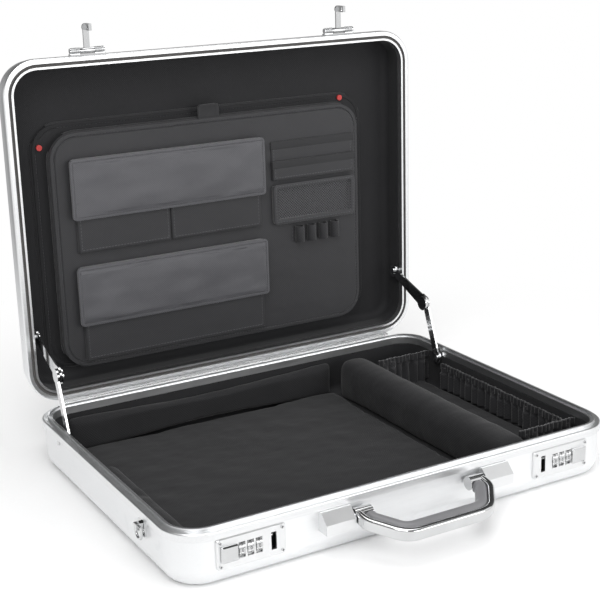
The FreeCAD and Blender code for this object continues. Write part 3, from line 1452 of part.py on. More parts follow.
def mesh_net(middle, width, height, front):
    """A flat net: one face with a grid of openings, given its thickness."""
    half_x = size(width) / 2 - size("seat_gap")
    half_y = size(height) / 2 - size("seat_gap")
    thread = size("mesh_thread")
    columns = int(size("mesh_columns"))
    rows = int(size("mesh_rows"))
    step_x = (2 * half_x - thread) / columns
    step_y = (2 * half_y - thread) / rows

    def frame(x, y, across_x, across_y):
        corners = [FreeCAD.Vector(x, y, 0), FreeCAD.Vector(x + across_x, y, 0),
                   FreeCAD.Vector(x + across_x, y + across_y, 0), FreeCAD.Vector(x, y + across_y, 0)]
        return Part.makePolygon(corners + corners[:1])
    wires = [frame(-half_x, -half_y, 2 * half_x, 2 * half_y)]
    for column in range(columns):
        for row_index in range(rows):
            x = thread - half_x + column * step_x
            y = thread - half_y + row_index * step_y
            wires.append(frame(x, y, step_x - thread, step_y - thread))
    net = doc.addObject("Part::Feature", "mesh_net")
    face = Part.makeFace(wires, "Part::FaceMakerBullseye")
    net.Shape = face.extrude(FreeCAD.Vector(0, 0, size("mesh_net_thickness")))
    place = FreeCAD.Vector(size(middle[0]), size(middle[1]), size("%s + mesh_trim_thickness / 2" % front))
    net.Placement = FreeCAD.Placement(place, FreeCAD.Rotation())
    return net


def make_pen_loops():
    """An elastic strip sewn down at steps, so that it stands up in loops."""
    body = new_body("pen_loops")
    count = int(size("pen_loops"))
    last = "pen_loop_first + (pen_loops - 1) * pen_loop_pitch"
    back = "panel_z - seat_gap"
    along = ("pen_loop_top", "pen_loop_top + pen_loop_height")
    middle_z = "%s - pen_loop_thickness / 2" % back
    extrude(body, "XZ", square("%s - pen_loop_first + 2 * pen_strip_margin" % last, "pen_loop_thickness"),
            ("(pen_loop_first + %s) / 2" % last, middle_z), along)
    middle = "%s - pen_loop_radius" % back
    places = [("pen_loop_first + %d * pen_loop_pitch" % index, middle) for index in range(count)]
    for place in places:
        extrude(body, "XZ", disc("pen_loop_radius"), place, along)
    for place in places:
        cut(body, "XZ", disc("pen_loop_radius - pen_loop_thickness"), place, along)
    return on_lid(named(body, "pen_loops"))


def make_studs():
    studs = []
    for place in ("stud_left", "stud_right"):
        stud = doc.addObject("Part::Cylinder", "organiser_" + place)
        stud.setExpression("Radius", bound("stud_radius"))
        stud.setExpression("Height", bound("stud_height"))
        stud.setExpression("Placement.Base.x", bound(place))
        stud.setExpression("Placement.Base.y", bound(place + "_along"))
        stud.setExpression("Placement.Base.z", bound("back_panel_z - stud_height"))
        studs.append(stud)
    on_lid(group("organiser_studs", studs))


def make_organiser():
    make_panels()
    make_gusset()
    make_pockets()
    make_flap("upper_flap", "upper_flap_top")
    make_flap("lower_flap", "lower_flap_top")
    make_card_pockets()
    make_mesh_pocket()
    make_pen_loops()
    make_studs()


# The whole case

make_base_shell()
make_base_frame()
make_base_liner()
make_lid_shell()
make_lid_frame()
make_lid_seal()
make_lid_liner()
make_hinge()
make_stays()
make_stay_pins()
make_locks()
make_hasps()
make_handle()
make_strap_lugs()
make_feet()
make_base_pads()
make_pouches()
make_organiser()
doc.recompute()

failed = [item.Label for item in doc.Objects if "Invalid" in item.State or "Error" in item.State]
for piece in pieces:
    if piece.Shape.isNull() or not piece.Shape.isValid() or piece.Shape.Volume <= 0:
        failed.append(piece.Label)
if failed:
    raise ValueError("these objects did not build: " + ", ".join(failed))

os.makedirs("parts", exist_ok=True)
for piece in pieces:
    piece.Shape.exportStep("parts/%s.step" % piece.Label)
print("%d pieces written" % len(pieces))
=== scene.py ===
import json
import math
from contextlib import contextmanager

import bpy
import numpy as np
from mathutils import Euler, Matrix, Vector


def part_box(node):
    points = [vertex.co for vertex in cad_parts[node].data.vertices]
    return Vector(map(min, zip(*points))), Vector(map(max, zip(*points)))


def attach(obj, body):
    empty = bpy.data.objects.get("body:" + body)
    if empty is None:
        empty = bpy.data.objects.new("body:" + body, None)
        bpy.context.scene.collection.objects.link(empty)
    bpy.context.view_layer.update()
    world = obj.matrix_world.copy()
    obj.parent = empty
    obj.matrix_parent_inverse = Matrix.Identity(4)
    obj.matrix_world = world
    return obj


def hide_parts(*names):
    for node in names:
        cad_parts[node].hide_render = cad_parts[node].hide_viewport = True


# An open aluminium case. The CAD solids carry the metal, and this script adds the cloth, the hasps'
# springs and small marks.
# X runs along the case, Y from its front to its hinge, and Z up.
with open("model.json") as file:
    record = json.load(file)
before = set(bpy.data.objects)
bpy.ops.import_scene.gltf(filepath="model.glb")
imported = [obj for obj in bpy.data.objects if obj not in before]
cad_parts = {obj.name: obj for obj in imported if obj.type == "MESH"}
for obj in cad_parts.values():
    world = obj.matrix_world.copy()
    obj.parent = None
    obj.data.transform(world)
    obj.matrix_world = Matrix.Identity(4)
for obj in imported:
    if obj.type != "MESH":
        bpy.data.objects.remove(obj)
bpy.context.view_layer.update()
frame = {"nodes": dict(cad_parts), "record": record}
MM = 0.001
SIDES = ("left", "right")
ALONG, ACROSS = (1, 0, 0), (0, 1, 0)


# Shader sums: a socket that takes part in plain arithmetic, and a finish that collects nodes

# A Mix node's sockets for its two colours, and its output for the mixed one
MIX_FIRST, MIX_SECOND, MIX_RESULT = 6, 7, 2


class Level:
    """A socket of a finish, used in Python sums."""

    def __init__(self, finish, socket):
        self.finish = finish
        self.socket = socket

    def worked(self, operation, *values):
        sockets = dict(enumerate(values))
        return self.finish.add("ShaderNodeMath", {"operation": operation}, sockets)

    def __add__(self, other):
        return self.worked("ADD", self, other)

    def __radd__(self, other):
        return self.worked("ADD", other, self)

    def __sub__(self, other):
        return self.worked("SUBTRACT", self, other)

    def __rsub__(self, other):
        return self.worked("SUBTRACT", other, self)

    def __mul__(self, other):
        return self.worked("MULTIPLY", self, other)

    def __rmul__(self, other):
        return self.worked("MULTIPLY", other, self)

    def sine(self):
        return self.worked("SINE", self)

    def larger(self, other):
        return self.worked("MAXIMUM", self, other)


class Nodes:
    """A node tree and short ways to build in it."""

    def __init__(self, tree):
        self.tree = tree

    def add(self, kind, settings=None, sockets=None, out=0):
        """Any node: its type, its settings, the values or links of its sockets, and the output used."""
        node = self.tree.nodes.new(kind)
        for key, value in (settings or {}).items():
            setattr(node, key, value)
        for key, value in (sockets or {}).items():
            self.feed(node.inputs[key], value)
        return Level(self, node.outputs[out])

    def feed(self, socket, value):
        if isinstance(value, Level):
            self.tree.links.new(value.socket, socket)
        else:
            socket.default_value = value

    def outputs(self, level, *names):
        """More outputs of the node that a level comes from."""
        return [Level(self, level.socket.node.outputs[name]) for name in names]

    def axes(self, vector):
        parts = self.add("ShaderNodeSeparateXYZ", sockets={"Vector": vector})
        return self.outputs(parts, 0, 1, 2)

    def ease(self, value, start, end):
        """From 0 to 1 while a value goes from start to end."""
        sockets = {"Value": value, "From Min": start, "From Max": end}
        return self.add("ShaderNodeMapRange", {"interpolation_type": "SMOOTHSTEP"}, sockets)


class Finish(Nodes):
    """A material and the nodes that make it."""

    def __init__(self, name):
        self.material = bpy.data.materials.new(name)
        self.material.use_nodes = True
        super().__init__(self.material.node_tree)
        self.shader = self.tree.nodes["Principled BSDF"]
        self.place = self.add("ShaderNodeTexCoord", out="Object")

    def set(self, **values):
        """Sets the shader's sockets; base_color stands for Base Color and so on."""
        for key, value in values.items():
            title = key.replace("_", " ").title().replace("Ior", "IOR")
            self.feed(self.shader.inputs[title], value)
        return self.material

    def noise(self, scale, detail, stretch=(1, 1, 1)):
        place = self.add("ShaderNodeMapping", sockets={"Vector": self.place, "Scale": stretch})
        sockets = {"Vector": place, "Scale": scale, "Detail": detail}
        return self.add("ShaderNodeTexNoise", sockets=sockets)

    def between(self, share, low, high):
        """A colour between two, by a share."""
        sockets = {"Factor": share, MIX_FIRST: (*low, 1), MIX_SECOND: (*high, 1)}
        return self.add("ShaderNodeMix", {"data_type": "RGBA"}, sockets, out=MIX_RESULT)

    def bump(self, height, depth, strength, under=None):
        """Relief of a depth in metres, on top of an earlier relief if there is one."""
        sockets = {"Height": height, "Distance": depth, "Strength": strength}
        if under:
            sockets["Normal"] = under
        return self.add("ShaderNodeBump", sockets=sockets)

    def weave(self, pitch):
        """Threads over and under each other, laid on whichever way the cloth faces."""
        x, y, z = [part * (math.pi / pitch) for part in self.axes(self.place)]
        facing = self.add("ShaderNodeTexCoord", out="Normal")
        nx, ny, nz = [part * part for part in self.axes(facing)]
        flat = x.sine() * y.sine() * nz + x.sine() * z.sine() * ny + y.sine() * z.sine() * nx
        return flat * 0.5 + 0.5


def aluminium_sheet():
    """Satin silver sheet with a fine grain along the case, slow clouds and a few scuffs."""
    finish = Finish("satin_aluminium_sheet")
    grain = finish.noise(scale=900, detail=3, stretch=(0.03, 1, 1))
    cloud = finish.noise(scale=9, detail=3)
    streaks = finish.noise(scale=55, detail=5, stretch=(0.25, 1, 1))
    scuffs = finish.ease(streaks, start=0.6, end=0.72)
    tone = grain * 0.5 + cloud * 0.5 - scuffs * 0.25
    return finish.set(base_color=finish.between(tone, low=(0.80, 0.81, 0.82), high=(0.90, 0.905, 0.91)),
                      metallic=1.0,
                      roughness=0.36 + grain * 0.12 + cloud * 0.05 + scuffs * 0.06,
                      normal=finish.bump(grain, depth=0.04 * MM, strength=0.5))


def drawn_metal(name, low, high, roughness, varies, scale, stretch):
    """Metal with faint lines along the way it was drawn."""
    finish = Finish(name)
    lines = finish.noise(scale, detail=2, stretch=stretch)
    return finish.set(base_color=finish.between(lines, low, high),
                      metallic=1.0,
                      roughness=roughness + lines * varies,
                      normal=finish.bump(lines, depth=0.03 * MM, strength=0.12))


def chrome(name, low, high, roughness):
    """Plated metal, polished or satin."""
    finish = Finish(name)
    wear = finish.noise(scale=60, detail=4)
    fine = finish.noise(scale=700, detail=2)
    return finish.set(base_color=finish.between(wear, low, high),
                      metallic=1.0,
                      roughness=roughness + wear * 0.05 + fine * 0.03)


def moulded(name, low, high, roughness, grain):
    """Moulded plastic or rubber with a fine even grain."""
    finish = Finish(name)
    speck = finish.noise(grain, detail=2)
    cloud = finish.noise(scale=25, detail=2)
    return finish.set(base_color=finish.between(cloud, low, high),
                      roughness=roughness + speck * 0.15,
                      normal=finish.bump(speck, depth=0.08 * MM, strength=0.5))


def cloth(name, low, high, pitch, depth, crease, roughness, sheen):
    """Woven cloth: threads of one pitch, slow changes of tone, and soft creases."""
    finish = Finish(name)
    threads = finish.weave(pitch)
    slow = finish.noise(scale=14, detail=3)
    fuzz = finish.noise(scale=1500, detail=1)
    fold = finish.noise(scale=26, detail=2, stretch=(1, 1.6, 1.6))
    tone = threads * 0.45 + slow * 0.35 + fuzz * 0.2
    creases = finish.bump(fold, depth=crease, strength=0.8)
    return finish.set(base_color=finish.between(tone, low, high),
                      roughness=roughness + fuzz * 0.1,
                      sheen_weight=sheen, sheen_roughness=0.45, specular_ior_level=0.32,
                      normal=finish.bump(threads, depth, strength=0.7, under=creases))


def net_thread():
    """Twisted thread of the net."""
    finish = Finish("net_thread")
    twist = finish.noise(scale=1200, detail=2)
    return finish.set(base_color=finish.between(twist, low=(0.1, 0.1, 0.106), high=(0.19, 0.19, 0.2)),
                      roughness=0.6 + twist * 0.2,
                      normal=finish.bump(twist, depth=0.1 * MM, strength=0.5))


FINE_WEAVE = {"pitch": 1.1 * MM, "depth": 0.22 * MM, "crease": 1.2 * MM}
TAPE_WEAVE = {"pitch": 0.9 * MM, "depth": 0.2 * MM, "crease": 0.2 * MM}
FOAM_WEAVE = {"pitch": 1.4 * MM, "depth": 0.3 * MM, "crease": 1.6 * MM}
ELASTIC_WEAVE = {"pitch": 1.6 * MM, "depth": 0.3 * MM, "crease": 0.8 * MM}

FINISHES = {
    "brushed_aluminium": aluminium_sheet(),
    "frame_aluminium": drawn_metal("drawn_aluminium_frame", (0.74, 0.75, 0.76), (0.86, 0.865, 0.87),
                                   roughness=0.26, varies=0.12, scale=1400, stretch=(0.02, 0.6, 0.6)),
    "chrome_fittings": chrome("plated_chrome", (0.57, 0.575, 0.58), (0.68, 0.685, 0.69),
                              roughness=0.05),
    "steel": drawn_metal("drawn_steel", (0.54, 0.545, 0.55), (0.61, 0.615, 0.62),
                         roughness=0.2, varies=0.15, scale=900, stretch=(0.05, 1, 1)),
    "lock_case": moulded("black_moulding", (0.018, 0.018, 0.02), (0.03, 0.03, 0.033),
                         roughness=0.4, grain=500),
    "rubber": moulded("grey_rubber", (0.06, 0.057, 0.055), (0.105, 0.1, 0.097),
                      roughness=0.62, grain=350),
    "lining": cloth("lining_cloth", (0.006, 0.006, 0.0068), (0.022, 0.022, 0.024),
                    **FINE_WEAVE, roughness=0.72, sheen=0.1),
    "padding": cloth("padding_cloth", (0.006, 0.006, 0.0066), (0.021, 0.021, 0.0228),
                     **FOAM_WEAVE, roughness=0.78, sheen=0.12),
    "nylon": cloth("organiser_nylon", (0.014, 0.014, 0.0152), (0.042, 0.042, 0.0456),
                   **FINE_WEAVE, roughness=0.5, sheen=0.14),
    "elastic": cloth("elastic_cloth", (0.011, 0.011, 0.012), (0.036, 0.036, 0.039),
                     **ELASTIC_WEAVE, roughness=0.7, sheen=0.2),
    "studs": moulded("red_stud", (0.38, 0.02, 0.018), (0.52, 0.035, 0.03), roughness=0.3, grain=600),
    "grip": moulded("grey_grip", (0.15, 0.15, 0.157), (0.2, 0.2, 0.208), roughness=0.3, grain=450),
}
# The flaps' nylon is glossier than the organiser nylon, with more sheen, and lighter in colour. The lighter
# colour is partly the flaps' own and partly painted light, for the light that the tilted flaps catch.
FLAP_NYLON_WITH_PAINTED_LIGHT = cloth("flap_nylon_with_painted_light", (0.05, 0.05, 0.0545), (0.108, 0.108, 0.118),
                   **FINE_WEAVE, roughness=0.4, sheen=0.25)
BINDING = cloth("binding_tape", (0.009, 0.009, 0.01), (0.026, 0.026, 0.0285),
                **TAPE_WEAVE, roughness=0.55, sheen=0.25)
NET_TAPE = cloth("net_tape", (0.02, 0.02, 0.0217), (0.048, 0.048, 0.052),
                 **TAPE_WEAVE, roughness=0.55, sheen=0.3)
THREAD = moulded("sewing_thread", (0.06, 0.06, 0.065), (0.11, 0.11, 0.118), roughness=0.5, grain=900)
NET = net_thread()
SATIN_CHROME = chrome("satin_chrome", (0.74, 0.745, 0.75), (0.82, 0.825, 0.83), roughness=0.3)
# Dark marks: the printed figures on the number wheels, and painted shade for the screw slots, where a dark
# cross stands for the shade inside each slot.
DARK_PRINT_AND_SLOT_SHADE = moulded("dark_print_and_slot_shade", (0.012, 0.012, 0.013), (0.022, 0.022, 0.024),
                    roughness=0.35, grain=500)

for part in frame["record"]["subparts"]:
    node = frame["nodes"][part["node"]]
    node.data.materials.clear()
    node.data.materials.append(FINISHES[part["material_slot"]])
for fitting in ("handle_bracket_", "lock_plate_"):
    for side in SIDES:
        frame["nodes"][fitting + side].data.materials[0] = SATIN_CHROME


# Modelling by hand: start a block, choose some of it, and work on that in edit mode

FACING = 0.9  # share of a direction above which a face looks, or an edge of cloth runs, one way
RUNNING = 0.99  # share of a direction above which a straight edge runs one way
TURNED = 0.1  # share of a direction below which an edge runs another way
HAIR = 0.1 * MM  # places closer than this count as one
MEETING = 0.02 * MM  # corners closer than this are joined


def fresh():
    bpy.ops.object.select_all(action="DESELECT")


def alone(piece):
    """Makes one piece the only selected one."""
    fresh()
    piece.select_set(True)
    bpy.context.view_layer.objects.active = piece
    return piece


def started(name):
    """Names a new piece and puts its place and size into its mesh."""
    piece = bpy.context.object
    piece.name = name
    bpy.ops.object.transform_apply(location=True, rotation=True, scale=True)
    return piece


def block(name, low, high):
    """A block between two corners, in metres."""
    fresh()
    low, high = Vector(low), Vector(high)
    bpy.ops.mesh.primitive_cube_add(size=1, location=(low + high) / 2, scale=high - low)
    return started(name)


@contextmanager
def chosen(piece, kind, test):
    """Edit mode with the faces, edges or corners chosen that pass a test of place and direction."""
    alone(piece)
    bpy.ops.object.mode_set(mode="EDIT")
    bpy.ops.mesh.select_mode(type=kind)
    bpy.ops.mesh.select_all(action="DESELECT")
    bpy.ops.object.mode_set(mode="OBJECT")
    mesh = piece.data
    if kind == "FACE":
        for face in mesh.polygons:
            face.select = test(face.center, face.normal)
    elif kind == "EDGE":
        for edge in mesh.edges:
            start, end = (mesh.vertices[index].co for index in edge.vertices)
            edge.select = test((start + end) / 2, (end - start).normalized())
    else:
        for corner in mesh.vertices:
            corner.select = test(corner.co, corner.normal)
    bpy.ops.object.mode_set(mode="EDIT")
    yield
    bpy.ops.object.mode_set(mode="OBJECT")


@contextmanager
def whole(piece, kind="FACE"):
    """Edit mode with all of a piece chosen."""
    alone(piece)
    bpy.ops.object.mode_set(mode="EDIT")
    bpy.ops.mesh.select_mode(type=kind)
    bpy.ops.mesh.select_all(action="SELECT")
    yield
    bpy.ops.object.mode_set(mode="OBJECT")


def to_mouth(middle, way):
    """A test for faces on the side of the lid's mouth."""
    return way.y < -FACING


def front_or_back(middle, way):
    """A test for faces on either broad side of an upright panel."""
    return abs(way.y) > FACING


def well_inside(place, low, high, x_margin, z_margin):
    """Whether a place on an upright panel lies further in than its margins."""
    return (low.x + x_margin < place.x < high.x - x_margin
            and low.z + z_margin < place.z < high.z - z_margin)


def rounded(radius, segments):
    """Rounds what is chosen in edit mode."""
    bpy.ops.mesh.bevel(offset=radius, segments=segments, affect="EDGES")


def pushed(step):
    """Extrudes what is chosen in edit mode by a step."""
    bpy.ops.mesh.extrude_region_move(TRANSFORM_OT_translate={"value": step})


def sliced(piece, axis, level):
    """Cuts a piece's faces along a plane across one axis, with both sides kept."""
    place, way = Vector(), Vector()
    place[axis], way[axis] = level, 1
    with whole(piece):
        bpy.ops.mesh.bisect(plane_co=place, plane_no=way)


def finish_with(piece, kind, **settings):
    """Adds a modifier with its settings and applies it."""
    alone(piece)
    modifier = piece.modifiers.new(kind.lower(), kind)
    for key, value in settings.items():
        setattr(modifier, key, value)
    bpy.ops.object.modifier_apply(modifier=modifier.name)
    return piece


def softened(piece, width, degrees):
    """Breaks the edges that are sharper than an angle."""
    return finish_with(piece, "BEVEL", width=width, segments=2, limit_method="ANGLE",
                       angle_limit=math.radians(degrees))


def smoothed(piece, levels=1):
    """Subdivides a piece and shades it smooth."""
    finish_with(piece, "SUBSURF", levels=levels, render_levels=levels)
    bpy.ops.object.shade_smooth()
    return piece


def eased(piece, degrees=40):
    """Shades a piece smooth, apart from the edges that are sharper than an angle."""
    alone(piece)
    bpy.ops.object.shade_smooth_by_angle(angle=math.radians(degrees))
    return piece


def outward(piece):
    """Joins corners that meet and turns all faces outward."""
    with whole(piece):
        bpy.ops.mesh.remove_doubles(threshold=MEETING)
        bpy.ops.mesh.normals_make_consistent(inside=False)
    return piece


def joined(name, members):
    """One piece made of several."""
    fresh()
    for member in members:
        member.select_set(True)
    bpy.context.view_layer.objects.active = members[0]
    bpy.ops.object.join()
    members[0].name = name
    return members[0]


def copied(piece, name, shift):
    """A copy with its own mesh, moved by a step."""
    twin = piece.copy()
    twin.data = piece.data.copy()
    twin.name = name
    bpy.context.collection.objects.link(twin)
    alone(twin)
    twin.location = shift
    bpy.ops.object.transform_apply(location=True, rotation=True, scale=True)
    return twin


def dressed(piece, material, body, nodes=()):
    """Gives a piece its finish and the body that it rides on, and hides the solids that it stands for."""
    piece.data.materials.clear()
    piece.data.materials.append(material)
    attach(piece, body)
    if nodes:
        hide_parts(*nodes)
    return piece


def round_corners(piece, direction, radius, segments):
    """Rounds the edges that run in one direction."""
    way = Vector(direction)
    with chosen(piece, "EDGE", lambda middle, along: abs(along.dot(way)) > RUNNING):
        rounded(radius, segments)
    return piece


def piping(name, piece, test, radius):
    """A round welt sewn along chosen edges of a piece."""
    with chosen(piece, "EDGE", test):
        bpy.ops.mesh.duplicate()
        bpy.ops.mesh.separate(type="SELECTED")
    edge = [item for item in bpy.context.selected_objects if item != piece][0]
    alone(edge)
    edge.name = name
    bpy.ops.object.convert(target="CURVE")
    edge.data.bevel_depth = radius
    edge.data.bevel_resolution = 3
    bpy.ops.object.convert(target="MESH")
    bpy.ops.object.shade_smooth()
    return bpy.context.object


STITCH_PITCH, STITCH_SHARE, FEWEST_STITCHES = 3.4 * MM, 0.66, 2
THREAD_RADIUS, THREAD_EDGE = 0.32 * MM, 0.12 * MM


def stitches(name, start, end):
    """A row of short thread stitches between two points."""
    start, end = Vector(start), Vector(end)
    run = end - start
    count = max(FEWEST_STITCHES, int(run.length / STITCH_PITCH))
    step = run / count
    turn = run.to_track_quat("Z", "Y").to_euler()
    fresh()
    bpy.ops.mesh.primitive_cylinder_add(vertices=6, radius=THREAD_RADIUS, depth=STITCH_PITCH * STITCH_SHARE,
                                        location=start + step / 2, rotation=turn)
    row = started(name)
    with whole(row):
        rounded(THREAD_EDGE, segments=1)
    return finish_with(row, "ARRAY", count=count, use_relative_offset=False, use_constant_offset=True,
                       constant_offset_displace=step)


def sewn_border(name, low, high, y, inset, body, sides="LRTB", corner=0):
    """Stitches along the sides of an upright panel, set in from its edge, short of round corners."""
    left, right = low.x + inset, high.x - inset
    foot, top = low.z + inset, high.z - inset
    runs = {
        "L": ((left, y, foot + corner), (left, y, top - corner)),
        "R": ((right, y, foot + corner), (right, y, top - corner)),
        "T": ((left + corner, y, top), (right - corner, y, top)),
        "B": ((left + corner, y, foot), (right - corner, y, foot)),
    }
    rows = [stitches(name + side, *runs[side]) for side in sides]
    dressed(eased(joined(name, rows)), THREAD, body)


SOFT_CREASES = bpy.data.textures.new("soft_creases", "CLOUDS")
SOFT_CREASES.noise_scale = 26 * MM
SOFT_CREASES.noise_depth = 1


def rumpled(piece, strength, level=0.5, group=""):
    """Gives cloth the slow unevenness that it has over foam or board, in its mesh."""
    finish_with(piece, "DISPLACE", texture=SOFT_CREASES, texture_coords="LOCAL", strength=strength,
                mid_level=level, vertex_group=group)


# Padding in the base: foam in cloth, swollen by a cloth simulation inside the room that it has

# How much smaller than its room a pad starts, at its low and its high corner
START_LOW = Vector((1.6, 1.6, 0.2)) * MM
START_HIGH = Vector((1.6, 1.6, 2.0)) * MM


def swell(piece, low, high, cap):
    """Stuffs a closed form: pressure from inside, each point kept near its start and in its room."""
    pressure, last_frame, least_move = 4, 20, 1e-9
    before = np.array([corner.co for corner in piece.data.vertices])
    alone(piece)
    stuffing = piece.modifiers.new("stuffing", "CLOTH")
    stuffing.settings.use_pressure = True
    stuffing.settings.uniform_pressure_force = pressure
    stuffing.settings.effector_weights.gravity = 0
    stuffing.point_cache.frame_end = last_frame
    for step in range(1, last_frame + 1):
        bpy.context.scene.frame_set(step)
    bpy.ops.object.modifier_apply(modifier=stuffing.name)
    bpy.context.scene.frame_set(1)
    moved = np.array([corner.co for corner in piece.data.vertices]) - before
    reach = np.linalg.norm(moved, axis=1, keepdims=True)
    kept = before + moved * np.minimum(1, cap / np.maximum(reach, least_move))
    kept = np.clip(kept, np.array(low), np.array(high))
    piece.data.vertices.foreach_set("co", kept.astype(np.float32).ravel())
    piece.data.update()


def stuffed_pad(name, low, high, edge, crown, voxel):
    """A foam pad: a block with soft edges, remeshed into even cloth and swollen."""
    low, high = Vector(low), Vector(high)
    foot, farthest, crease = 0.5 * MM, 6 * MM, 1.6 * MM
    start_low = low + START_LOW
    piece = block(name, start_low, high - START_HIGH)
    with chosen(piece, "EDGE", lambda middle, along: middle.z > start_low.z + foot):
        rounded(edge, segments=4)
    finish_with(piece, "REMESH", mode="VOXEL", voxel_size=voxel)
    finish_with(piece, "SMOOTH", factor=0.5, iterations=4)
    swell(piece, low, high + Vector((0, 0, crown)), cap=farthest)
    rumpled(piece, crease, level=0.4)
    return smoothed(piece)


def cut_room(piece, low, high):
    """Takes the room of another part out of a pad."""
    cutter = block("room", low, high)
    finish_with(piece, "BOOLEAN", operation="DIFFERENCE", object=cutter, solver="EXACT")
    bpy.data.objects.remove(cutter)


def padding(name, nodes, room, edge, crown, voxel=4 * MM, cuts=()):
    """A dressed foam pad, with the rooms of other parts cut out of it."""
    pad = stuffed_pad(name, *room, edge, crown, voxel)
    for low, high in cuts:
        cut_room(pad, low, high)
    if cuts:
        eased(pad, degrees=50)
    dressed(pad, FINISHES["padding"], "base", nodes)


def base_pads():
    """The floors of both bays, the pads along the walls, and the roll between the bays."""
    padding("laptop_bay_floor", ["laptop_floor_pad"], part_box("laptop_floor_pad"),
            edge=2.2 * MM, crown=1.2 * MM, voxel=3.2 * MM)
    padding("accessory_bay_floor", ["accessory_floor_pad"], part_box("accessory_floor_pad"),
            edge=0.8 * MM, crown=0.8 * MM, voxel=1.8 * MM)
    padding("rear_wall_pad", ["rear_pad"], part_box("rear_pad"), edge=4 * MM, crown=1.5 * MM)

    low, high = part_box("front_pad")
    raised = Vector((0, 0, 4.5 * MM))
    clear = Vector((0.6, 0.6, 0.6)) * MM
    to_front = Vector((0, 20 * MM, 0))
    lock_rooms = []
    for side in SIDES:
        case_low, case_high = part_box("lock_case_" + side)
        lock_rooms.append((case_low - clear - to_front, case_high + clear))
    padding("front_wall_pad", ["front_pad"], (low, high + raised),
            edge=3 * MM, crown=0.5 * MM, cuts=lock_rooms)

    low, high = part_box("left_pad")
    step_y, step_top, seam = 20.15 * MM, 28 * MM, 0.3 * MM
    padding("left_wall_pad_tall", ["left_pad"], (low, (high.x, step_y, high.z)),
            edge=5 * MM, crown=1.5 * MM)
    padding("left_wall_pad_low", [], ((low.x, step_y + seam, low.z), (high.x, high.y, step_top)),
            edge=5 * MM, crown=1.5 * MM)
    padding("divider_roll", ["divider_pad"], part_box("divider_pad"),
            edge=12 * MM, crown=0.8 * MM)


# Pleats: one straight edge carried to and fro, then rounded and given its thickness

def pleated(name, start, along, steps, thickness):
    """A strip of cloth in folds: its first edge runs along, and each step carries it on."""
    fresh()
    bpy.ops.mesh.primitive_plane_add(size=1)
    strip = started(name)
    with chosen(strip, "VERT", lambda place, way: place.x > 0):
        bpy.ops.mesh.delete(type="VERT")
    first, last = strip.data.vertices
    first.co, last.co = Vector(start), Vector(start) + Vector(along)
    with whole(strip, "EDGE"):
        for step in steps:
            pushed(step)
    way = Vector(along).normalized()
    with chosen(strip, "EDGE", lambda middle, run: abs(run.dot(way)) > FACING):
        bpy.ops.mesh.subdivide(number_cuts=5)
    smoothed(strip, levels=2)
    return finish_with(strip, "SOLIDIFY", thickness=thickness, offset=0)


def gathers(length, folds, sway):
    """The steps of a line that swings to and fro in uneven folds, from and back to its middle."""
    least, spread, golden = 0.7, 0.6, 0.618
    shares = [least + spread * (index * golden % 1) for index in range(folds + 1)]
    pitch = length / sum(shares)
    edge = 0
    steps = []
    for index, share in enumerate(shares):
        turn = sway / 2 * share * (-1) ** index if index < folds else 0
        steps.append((pitch * share, turn - edge))
        edge = turn
    return steps


def gathered_cloth(name, start, length, tall, folds, along_y=False, nodes=()):
    """Cloth drawn up on an elastic hem, across the bay or along its outer wall."""
    def run(steps):
        return [(aside, ahead, 0) if along_y else (ahead, aside, 0) for ahead, aside in steps]

    start = Vector(start)
    sway, fullness = (12 * MM, 1.27) if along_y else (15 * MM, 1.45)
    narrowed = (0.55, 1, 1) if along_y else (1, 0.55, 1)
    cloth_tall, cloth_thick, crease, drawn_up = tall - 4 * MM, 1.1 * MM, 1.8 * MM, 11 * MM
    hem_drop, hem_tall, hem_thick, hem_sway = 6.8 * MM, 6.6 * MM, 2.2 * MM, 5 * MM

    curtain_steps = run(gathers(length, folds, sway))
    curtain = pleated(name, start, (0, 0, cloth_tall), curtain_steps, cloth_thick)
    rumpled(curtain, crease)
    with chosen(curtain, "VERT", lambda place, way: place.z > start.z + tall - drawn_up):
        bpy.ops.transform.resize(value=narrowed, center_override=start)
    dressed(curtain, FINISHES["elastic"], "base", nodes)

    hem_start = start + Vector((0, 0, tall - hem_drop))
    hem_steps = run(gathers(length, folds * 2, hem_sway))
    hem = pleated(name + "_hem", hem_start, (0, 0, hem_tall), hem_steps, hem_thick)
    dressed(hem, BINDING, "base")


def gathered_curtains():
    """Two elastic curtains across the accessory bay and one along its outer wall."""
    low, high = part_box("elastic_pouches")
    wide, tall = high.x - low.x, high.z - low.z
    rear_y, front_y, cross_folds = 124 * MM, -126 * MM, 13
    outer_x, outer_y, outer_folds = 219.6 * MM, -122 * MM, 38
    outer_long, outer_tall = 216 * MM, 29 * MM
    gathered_cloth("rear_elastic_curtain", (low.x, rear_y, low.z), wide, tall, cross_folds,
                   nodes=["elastic_pouches"])
    gathered_cloth("front_elastic_curtain", (low.x, front_y, low.z), wide, tall, cross_folds)
    gathered_cloth("outer_elastic_curtain", (outer_x, outer_y, low.z), outer_long, outer_tall,
                   outer_folds, along_y=True)


def gusset():
    """Pleated cloth between the organiser's two boards: both sides and the foot."""
    low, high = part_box("organiser_gusset")
    folds, sway, corner, thick, unfolded = 4, 5 * MM, 26 * MM, 0.9 * MM, 14.6 * MM
    tick = (high.y - low.y) / folds
    zigzag = [sway * (-1) ** index for index in range(folds)]
    rise = (0, 0, high.z - low.z - corner)
    strips = {
        "gusset_left": ((low.x, low.y, low.z + corner), rise,
                        [(shift, tick, 0) for shift in zigzag]),
        "gusset_right": ((high.x, low.y, low.z + corner), rise,
                         [(-shift, tick, 0) for shift in zigzag]),
        "gusset_foot": ((low.x + corner, low.y, low.z), (high.x - low.x - 2 * corner, 0, 0),
                        [(0, tick, shift) for shift in zigzag]),
    }
    for name, (start, along, steps) in strips.items():
        strip = pleated(name, start, along, steps, thick)
        nodes = ["organiser_gusset"] if name == "gusset_left" else []
        dressed(strip, FINISHES["nylon"], "lid", nodes)


# Organiser in the lid

